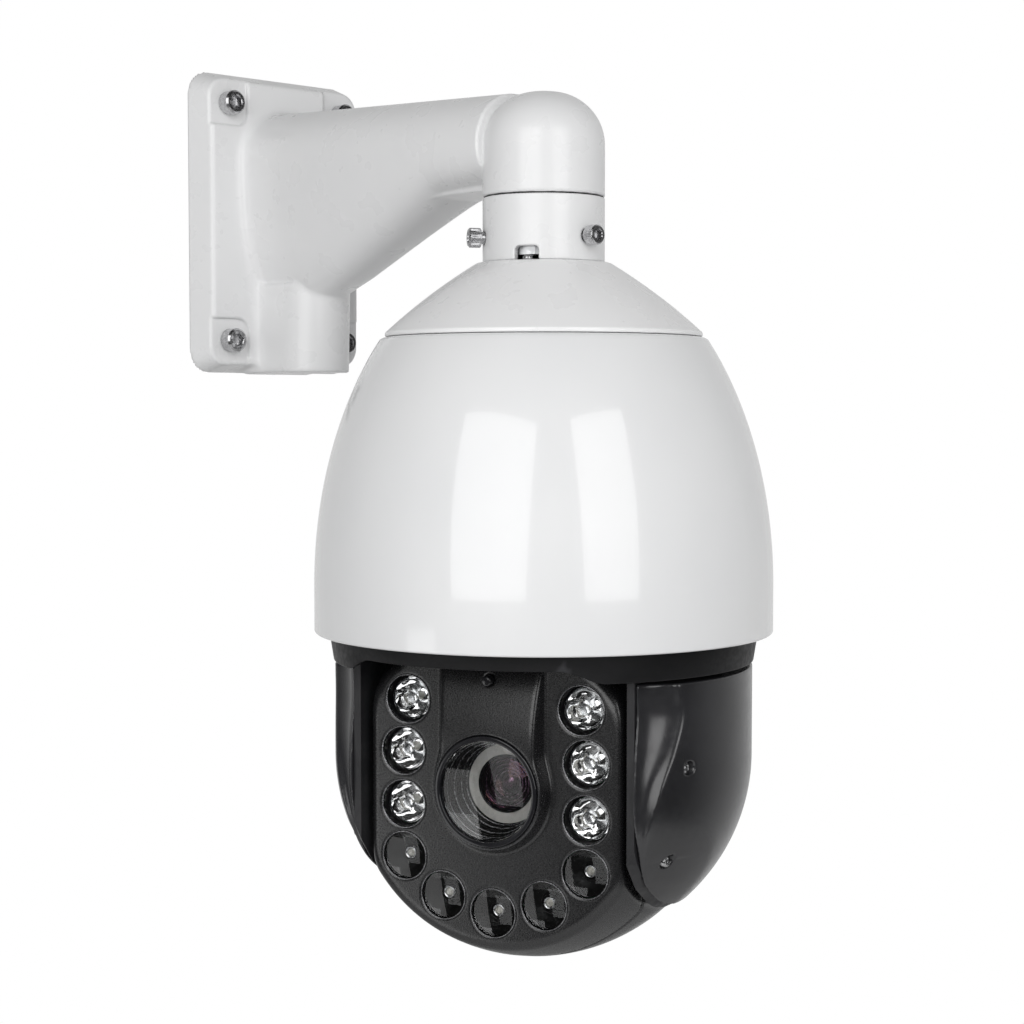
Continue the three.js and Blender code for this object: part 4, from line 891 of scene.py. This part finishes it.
# %% Wide lamps
window_boss = softened([(0, 54.1), (11.2, 54.1), (11.2, 57.4), (0, 57.4)], 0.3)
dark_cup = [
    (0, 49.2), (4.8, 49.2), (7.4, 50.4), (10.0, 52.4), (11.4, 53.2), (11.3, 53.8), (10.7, 53.6),
    (8.6, 51.9), (6.2, 50.6), (4.3, 50.1), (4.1, 50.5), (3.8, 50.5), (3.7, 50.0), (0, 50.0),
]
silver_ring = [(1.9, 50.0), (2.9, 50.0), (2.9, 51.0), (2.5, 51.5), (1.9, 51.1), (1.9, 50.0)]
chip_dome = [(0, 50.0), (1.8, 50.0), (1.7, 50.9), (1.1, 51.6), (0, 51.9)]
bosses = [moved(turned(window_boss, 72), x, y) for x, y in LOW_LAMPS]
on_head("wide_lamp_windows", both(*bosses), "clear_window", ["low_lamp_window"])
lamp_set(LOW_LAMPS, [
    ("wide_lamp_cup", turned(dark_cup, 72), "black_gloss", "deep_black", None),
    ("wide_lamp_rim", rim_shape, "black_gloss", "ridge_painted_highlight", None),
    ("wide_lamp_ring", turned(softened(silver_ring, 0.15), 40), "aluminium", "mirror", None),
    ("wide_lamp_chip", turned(chip_dome, 40), "coated_glass", "chip", None),
])
print("wide lamps:", len(LOW_LAMPS))

# %% [markdown]
# ## Lens
# Behind a flat window a ridged black funnel keeps stray light off the zoom lens. Its ridges
# carry thin bright rings, a painted highlight made as thin grey metal hoops of their own. The lens
# is a steep clear cap with a purple coating, in a pale ring floor. Black terraces with more
# painted highlight rings, and a small dark pupil of painted shade, lie behind it.

# %% Ring, window, baffle and lens
RING_R, RING_BORE = 26.2, 23.8
ring_profile = softened([
    (RING_BORE - 1.2, 61.2), (RING_R, 61.2), (RING_R, 67.4), (RING_BORE, 67.4), (RING_BORE, 63.2),
    (RING_BORE - 1.2, 63.2), (RING_BORE - 1.2, 61.2),
], 0.5)
on_head("lens_bezel", turned(ring_profile, 144), "black_gloss", ["lens_ring"])
glass_profile = softened([(0, 63.5), (23.5, 63.5), (23.5, 65.5), (0, 65.5)], 0.35)
on_head("lens_cover_glass", turned(glass_profile, 144), "clear_window", ["lens_window"])

ridges, ridge_count = [], 6
for k in range(ridge_count):
    t = k / ridge_count
    radius = 22.6 - 5.2 * t
    forward = 60.9 - 15.3 * t
    ridges += [(radius, forward), (radius - 0.28, forward - 0.18), (radius - 0.30, forward - 0.42),
               (radius + 0.35, forward - 0.8), (radius - 0.1, forward - 2.2)]
baffle_profile = [(11.3, 43.9), (19.3, 43.9), (25.9, 60.9), *ridges, (17.3, 45.4), (11.3, 45.4), (11.3, 43.9)]
on_head("lens_funnel", turned(baffle_profile, 144), "black_gloss", ["lens_baffle"], look="deep_black")
# Thin grey metal hoops on the funnel's ridges: a painted highlight.
for k, (radius, level) in enumerate(((22.4, 60.6), (20.7, 55.6), (19.0, 50.9), (17.9, 47.6))):
    bead = hoop(radius - 0.35, radius + 0.1, level - 0.25, level + 0.2, 0.12)
    on_head(f"funnel_ridge_{k + 1}", turned(bead, 144), "black_gloss", look="ridge_painted_highlight")
floor_profile = softened([(12.6, 45.5), (17.2, 45.5), (17.2, 46.0), (12.6, 45.8), (12.6, 45.5)], 0.1)
on_head("lens_floor", turned(floor_profile, 120), "bush_plastic", look="pale_floor")
holder_profile = softened([
    (11.4, 45.5), (12.5, 45.5), (12.5, 46.6), (11.9, 47.0), (11.4, 46.4), (11.4, 45.5),
], 0.12)
on_head("lens_holder", turned(holder_profile, 120), "black_gloss")
outer_curve = [(11.0 * t, 47.3 - 2.1 * t * t) for t in np.linspace(1, 0, 20)]
inner_curve = [(10.6 * t, 46.6 - 2.1 * t * t) for t in np.linspace(0, 1, 20)]
front_glass = [*inner_curve, (10.6, 43.8), (11.0, 43.8), *outer_curve]
terraces = []
for radius, level in ((10.4, 44.0), (9.0, 43.6), (7.6, 43.0), (6.0, 42.5), (4.6, 42.1)):
    terraces += [(radius, level), (radius - 0.15, level + 0.22), (radius - 0.4, level + 0.22),
                 (radius - 0.55, level)]
barrel_profile = [(0, 41.0), (10.4, 41.0), *terraces, (0, 41.9)]
on_head("lens_terraces", turned(barrel_profile, 120), "black_gloss", look="deep_black")
# Thin grey metal hoops on the terraces: painted reflections of the lens's inner rings.
for k, (radius, level) in enumerate(((9.7, 44.1), (7.9, 43.5), (6.3, 42.9), (4.9, 42.5))):
    bead = hoop(radius - 0.15, radius + 0.15, level - 0.2, level + 0.15, 0.08)
    on_head(f"lens_ring_line_{k + 1}", turned(bead, 120), "black_gloss", look="ridge_painted_highlight")
# A dark cap in the lens's centre: painted shade for the depth of the lens.
pupil = [(0, 42.0), (3.3, 42.0), (3.4, 42.3), (2.7, 43.0), (1.5, 43.6), (0, 43.8)]
on_head("lens_pupil", turned(pupil, 72), "coated_glass", look="pupil_painted_shade")
on_head("lens_front_glass", turned(front_glass, 120), "coated_glass", ["front_lens"])
sensor_profile = softened([(0, 55.6), (2.4, 55.6), (2.4, 66.0), (1.9, 66.3), (0, 66.4)], 0.2)
on_head("light_sensor_window", turned(sensor_profile, 48), "black_gloss", ["light_sensor"], at=(0, 52))
print("ridges:", ridge_count)

# %% [markdown]
# ## Finishes
# Every finish is built from noise in the object's own coordinates, so nothing needs unwrapping.
# Real surfaces differ from a flat colour in three ways: colour drifts a little over a hand's
# width, roughness drifts over a finger's width, and a fine grain breaks up the mirror image.
# Each finish below sets those three scales for its own material.

# %% Helpers for finishes
looks = {}
EDGE_POINTINESS = (0.53, 0.62)


def finish(name, color, roughness, metallic=0.0, **sockets):
    """A principled material with its plain values on the shader's own sockets."""
    made = bpy.data.materials.new(name)
    made.use_nodes = True
    shader = made.node_tree.nodes["Principled BSDF"]
    shader.inputs["Base Color"].default_value = (*color, 1)
    shader.inputs["Roughness"].default_value = roughness
    shader.inputs["Metallic"].default_value = metallic
    for socket, value in sockets.items():
        shader.inputs[socket.replace("_", " ")].default_value = value
    looks[name] = made
    return made


def noise(made, per_metre, detail=2.0, stretch=(1, 1, 1)):
    """A noise whose grains are this many to the metre, stretched if asked."""
    tree = made.node_tree
    where = tree.nodes.new("ShaderNodeTexCoord")
    scaled = tree.nodes.new("ShaderNodeMapping")
    scaled.inputs["Scale"].default_value = stretch
    grain = tree.nodes.new("ShaderNodeTexNoise")
    grain.inputs["Scale"].default_value = per_metre
    grain.inputs["Detail"].default_value = detail
    tree.links.new(where.outputs["Object"], scaled.inputs["Vector"])
    tree.links.new(scaled.outputs["Vector"], grain.inputs["Vector"])
    return grain.outputs["Fac"]


def drift(made, source, socket, low, high, span=(0.3, 0.7)):
    """Lets a noise carry one of the shader's numbers between two values."""
    tree = made.node_tree
    carried = spread(tree, source, span, low, high)
    tree.links.new(carried, tree.nodes["Principled BSDF"].inputs[socket])


def tint(made, source, dark, light, span=(0.3, 0.7)):
    """Lets a noise carry the base colour between two colours. Returns the colour's output."""
    tree = made.node_tree
    ramp = tree.nodes.new("ShaderNodeValToRGB")
    ramp.color_ramp.elements[0].position, ramp.color_ramp.elements[1].position = span
    ramp.color_ramp.elements[0].color = (*dark, 1)
    ramp.color_ramp.elements[1].color = (*light, 1)
    tree.links.new(source, ramp.inputs["Fac"])
    tree.links.new(ramp.outputs["Color"], tree.nodes["Principled BSDF"].inputs["Base Color"])
    return ramp.outputs["Color"]


def painted_edge_highlight(made, under, color, strength):
    """Paints a paler colour onto sharp outside edges as a painted edge highlight, broken up by a noise."""
    tree = made.node_tree
    shape = tree.nodes.new("ShaderNodeNewGeometry")
    edge = spread(tree, shape.outputs["Pointiness"], EDGE_POINTINESS, 0.0, strength)
    broken = tree.nodes.new("ShaderNodeMath")
    broken.operation = "MULTIPLY"
    mix = tree.nodes.new("ShaderNodeMix")
    mix.data_type = "RGBA"
    mix.inputs[7].default_value = (*color, 1)
    tree.links.new(edge, broken.inputs[0])
    tree.links.new(noise(made, 140, 4), broken.inputs[1])
    tree.links.new(broken.outputs["Value"], mix.inputs[0])
    tree.links.new(under, mix.inputs[6])
    tree.links.new(mix.outputs[2], tree.nodes["Principled BSDF"].inputs["Base Color"])


def relief(made, *layers):
    """Stacks bumps: each layer is a noise, a strength and a height in millimetres."""
    tree = made.node_tree
    below = None
    for source, strength, height in layers:
        bump = tree.nodes.new("ShaderNodeBump")
        bump.inputs["Strength"].default_value = strength
        bump.inputs["Distance"].default_value = height * 0.001
        tree.links.new(source, bump.inputs["Height"])
        if below is not None:
            tree.links.new(below, bump.inputs["Normal"])
        below = bump.outputs["Normal"]
    tree.links.new(below, tree.nodes["Principled BSDF"].inputs["Normal"])


def surface(name, color, roughness, colors, spans, bumps, metallic=0.0, **sockets):
    """A finish whose colour, roughness and relief each follow noises of their own."""
    made = finish(name, color, roughness, metallic, **sockets)
    grain, dark, light = colors
    tint(made, noise(made, *grain), dark, light)
    grain, low, high = spans
    drift(made, noise(made, *grain), "Roughness", low, high)
    relief(made, *[(noise(made, *grain), strength, height) for grain, strength, height in bumps])


print("helpers for finishes ready")

# %% [markdown]
# ### White powder coat
# The castings are powder coated: baked plastic powder with a soft sheen and a faint orange peel.
# Two bumps make it, a slow one for the peel and a fine one for the powder's grain.

# %% Powder coat
def powder_coat(name, dark, light):
    paint = finish(name, light, 0.3, Coat_Weight=0.25, Coat_Roughness=0.12)
    base = tint(paint, noise(paint, 22, 3), dark, light)
    # Sharp edges of the white paint get a painted edge highlight.
    painted_edge_highlight(paint, base, (0.86, 0.86, 0.86), 0.12)
    drift(paint, noise(paint, 60, 3), "Roughness", 0.24, 0.36)
    relief(paint, (noise(paint, 420, 2), 0.16, 0.12), (noise(paint, 2600, 2), 0.10, 0.03))


powder_coat("white_paint", (0.778, 0.781, 0.786), (0.795, 0.797, 0.80))
# The cap's copy is paler than the bracket's paint: painted light on its upward-facing cone.
powder_coat("cap_paint_with_painted_light", (0.865, 0.867, 0.87), (0.88, 0.881, 0.884))
print("made white_paint and cap_paint_with_painted_light")

# %% [markdown]
# ### Glossy white moulding
# The dome is polished moulding: almost a mirror, with only a slow ripple from the mould and a
# few fine hairlines from wiping. A clear coat over white gives the depth.

# %% Dome gloss
surface("white_shell", (0.82, 0.825, 0.83), 0.16, ((14, 2), (0.80, 0.805, 0.812), (0.835, 0.838, 0.842)),
        ((90, 5), 0.10, 0.2), [((18, 1), 0.05, 0.5), ((900, 3, (1, 1, 0.08)), 0.03, 0.02)],
        Coat_Weight=0.7, Coat_Roughness=0.035, IOR=1.5)
print("made white_shell")

# %% [markdown]
# ### Black satin mouldings
# The head's face has a fine spark-eroded grain, which glitters a little under a soft light.
# The ears come from a smoother mould, so they lose most of the grain, and their paler black is a painted
# sheen; the skirt is duller.
# Round the lamps and the lens, dull deep black and thin bright ridges set each other off; the ridges' grey
# metal is a painted highlight.

# %% Black grains
def black_moulding(name, base, roughness, grain, spots, shine):
    """A black moulding by its grey, roughness span, grain's strength and pitch, spots and shine."""
    made = finish(name, (base, base, base * 1.08), roughness[0], IOR=1.5, Specular_IOR_Level=shine)
    dark, light = base * 0.7, base * 1.25
    under = tint(made, noise(made, 30, 3), (dark, dark, dark * 1.1), (light, light, light * 1.1))
    # Sharp edges of the black mouldings get a painted edge highlight.
    painted_edge_highlight(made, under, (0.06, 0.06, 0.065), 0.8)
    drift(made, noise(made, spots, 3), "Roughness", *roughness)
    relief(made, (noise(made, 300, 2), 0.05, 0.1), (noise(made, grain[1], 1), grain[0], 0.12))


black_moulding("black_satin", 0.008, (0.20, 0.32), (0.32, 1500), 1500, 0.95)
# The ears' copy of the black is paler than the head's: a painted sheen.
black_moulding("ear_satin_painted_sheen", 0.022, (0.18, 0.26), (0.04, 2400), 260, 1.0)
black_moulding("skirt_satin", 0.009, (0.40, 0.55), (0.10, 2400), 400, 0.3)
print("made black_satin, ear_satin_painted_sheen and skirt_satin")

# %% Blacks inside the lamps and the lens
surface("deep_black", (0.003, 0.003, 0.003), 0.4, ((200, 3), (0.002, 0.002, 0.002), (0.004, 0.004, 0.004)),
        ((600, 3), 0.35, 0.48), [((300, 2), 0.05, 0.04)], Specular_IOR_Level=0.15)

# Grey metal for thin rims, ridges and rings on black plastic: a painted highlight.
surface("ridge_painted_highlight", (0.32, 0.32, 0.33), 0.22, ((500, 3), (0.24, 0.24, 0.25), (0.40, 0.40, 0.41)),
        ((900, 3), 0.18, 0.32), [((300, 2), 0.04, 0.03)], metallic=0.9)
print("made deep_black and ridge_painted_highlight")

# %% Polished black
surface("black_gloss", (0.012, 0.012, 0.014), 0.1, ((40, 2), (0.008, 0.008, 0.010), (0.018, 0.018, 0.020)),
        ((400, 4), 0.08, 0.17), [((500, 2), 0.04, 0.04)], Coat_Weight=0.4, Coat_Roughness=0.05)
print("made black_gloss")

# %% [markdown]
# ### Rubber, metals and painted works
# Rubber is the roughest black here. Stainless screws show turning marks, stretched noise round
# them, and aluminium is softer and greyer. The motors are dull black paint.

# %% Rubber and metals
surface("black_rubber", (0.02, 0.02, 0.02), 0.75, ((90, 3), (0.014, 0.014, 0.014), (0.03, 0.03, 0.03)),
        ((300, 3), 0.62, 0.85), [((1400, 3), 0.4, 0.08)])

surface("stainless", (0.60, 0.60, 0.61), 0.2, ((500, 3), (0.46, 0.46, 0.47), (0.68, 0.68, 0.69)),
        ((900, 4), 0.14, 0.32), [((2200, 2, (1, 1, 0.2)), 0.12, 0.04)], metallic=1.0, Anisotropic=0.3)

surface("aluminium", (0.70, 0.71, 0.72), 0.35, ((120, 4), (0.60, 0.61, 0.62), (0.74, 0.75, 0.76)),
        ((500, 4), 0.26, 0.45), [((1500, 2, (1, 1, 0.15)), 0.2, 0.05)], metallic=1.0)

surface("motor_black", (0.04, 0.04, 0.045), 0.5, ((60, 4), (0.03, 0.03, 0.034), (0.055, 0.055, 0.06)),
        ((300, 3), 0.42, 0.6), [((900, 3), 0.25, 0.08)])

surface("black_metal", (0.02, 0.02, 0.022), 0.42, ((50, 4), (0.014, 0.014, 0.016), (0.03, 0.03, 0.032)),
        ((260, 3), 0.36, 0.52), [((800, 3), 0.3, 0.1)])

surface("mirror", (0.72, 0.73, 0.74), 0.2, ((700, 3), (0.62, 0.63, 0.64), (0.80, 0.80, 0.81)),
        ((900, 3), 0.16, 0.30), [((800, 2), 0.1, 0.05)], metallic=1.0)
print("made rubber and metals")

# %% Board and plastics
surface("board_green", (0.03, 0.16, 0.08), 0.45, ((350, 2), (0.02, 0.11, 0.055), (0.05, 0.22, 0.11)),
        ((200, 3), 0.35, 0.55), [((500, 1), 0.3, 0.1)])

surface("bush_plastic", (0.72, 0.71, 0.67), 0.4, ((150, 3), (0.66, 0.65, 0.61), (0.76, 0.75, 0.71)),
        ((500, 3), 0.34, 0.48), [((1200, 2), 0.15, 0.05)], Subsurface_Weight=0.1)

surface("pale_floor", (0.72, 0.70, 0.66), 0.45, ((400, 3), (0.64, 0.62, 0.58), (0.78, 0.76, 0.72)),
        ((900, 3), 0.35, 0.5), [((2000, 2), 0.2, 0.04)])
print("made board and plastics")

# %% [markdown]
# ### Clear and coated parts
# Windows and lamp lenses are clear moulding, with transmission on and a hair of roughness.
# The lens is glass under a thin film: the film's thickness gives a purple glint, and the glass's pink tint is
# a painted reflection of that coating.

# %% Clear parts
surface("clear_window", (0.96, 0.97, 0.975), 0.01, ((60, 2), (0.94, 0.955, 0.96), (0.985, 0.99, 0.99)),
        ((700, 3), 0.0, 0.025), [((60, 2), 0.02, 0.03)], Transmission_Weight=1.0, IOR=1.49)

# The pink tint in this glass is a painted coating reflection; the thin film adds the real glint.
surface("coated_glass", (0.85, 0.62, 0.78), 0.01, ((60, 2), (0.80, 0.55, 0.72), (0.92, 0.72, 0.86)),
        ((500, 3), 0.005, 0.02), [((200, 1), 0.03, 0.03)],
        Transmission_Weight=1.0, IOR=1.6, Thin_Film_Thickness=105, Thin_Film_IOR=1.38)

# Dark coated colour for the pupil: painted shade.
surface("pupil_painted_shade", (0.10, 0.02, 0.05), 0.04, ((80, 2), (0.02, 0.004, 0.012), (0.10, 0.02, 0.05)),
        ((500, 3), 0.02, 0.08), [((200, 1), 0.03, 0.03)], Coat_Weight=1.0, Coat_Roughness=0.02, IOR=1.7)

surface("chip", (0.9, 0.87, 0.78), 0.15, ((900, 1), (0.60, 0.57, 0.50), (0.95, 0.93, 0.86)),
        ((900, 2), 0.1, 0.25), [((1500, 1), 0.2, 0.08)], Coat_Weight=1.0, Coat_Roughness=0.03)
print("made clear and coated parts")

# %% [markdown]
# ### Studio floor
# A matt pale sweep under the camera. It is stage, so it isn't part of the object.

# %% Floor finish
sweep = finish("studio_sweep", (0.86, 0.86, 0.86), 0.8)
tint(sweep, noise(sweep, 3, 3), (0.84, 0.84, 0.84), (0.88, 0.88, 0.88))
relief(sweep, (noise(sweep, 200, 2), 0.05, 0.2))
studio_floor.data.materials.append(sweep)
print("made", sweep.name)

# %% [markdown]
# ## Dressing everything
# New pieces take their look directly. The engineering nodes that still show, most of them
# inside the dome and head, take the finish of their own slot.

# %% Assign the finishes
for made, look in dressed:
    made.data.materials.clear()
    made.data.materials.append(looks[look])
kept = 0
for name, node in nodes.items():
    if node.hide_render:
        continue
    node.data.materials.clear()
    node.data.materials.append(looks[slot_of[name]])
    kept += 1
print("pieces:", len(dressed), "nodes kept:", kept)

# %% Update the view layer
bpy.context.view_layer.update()
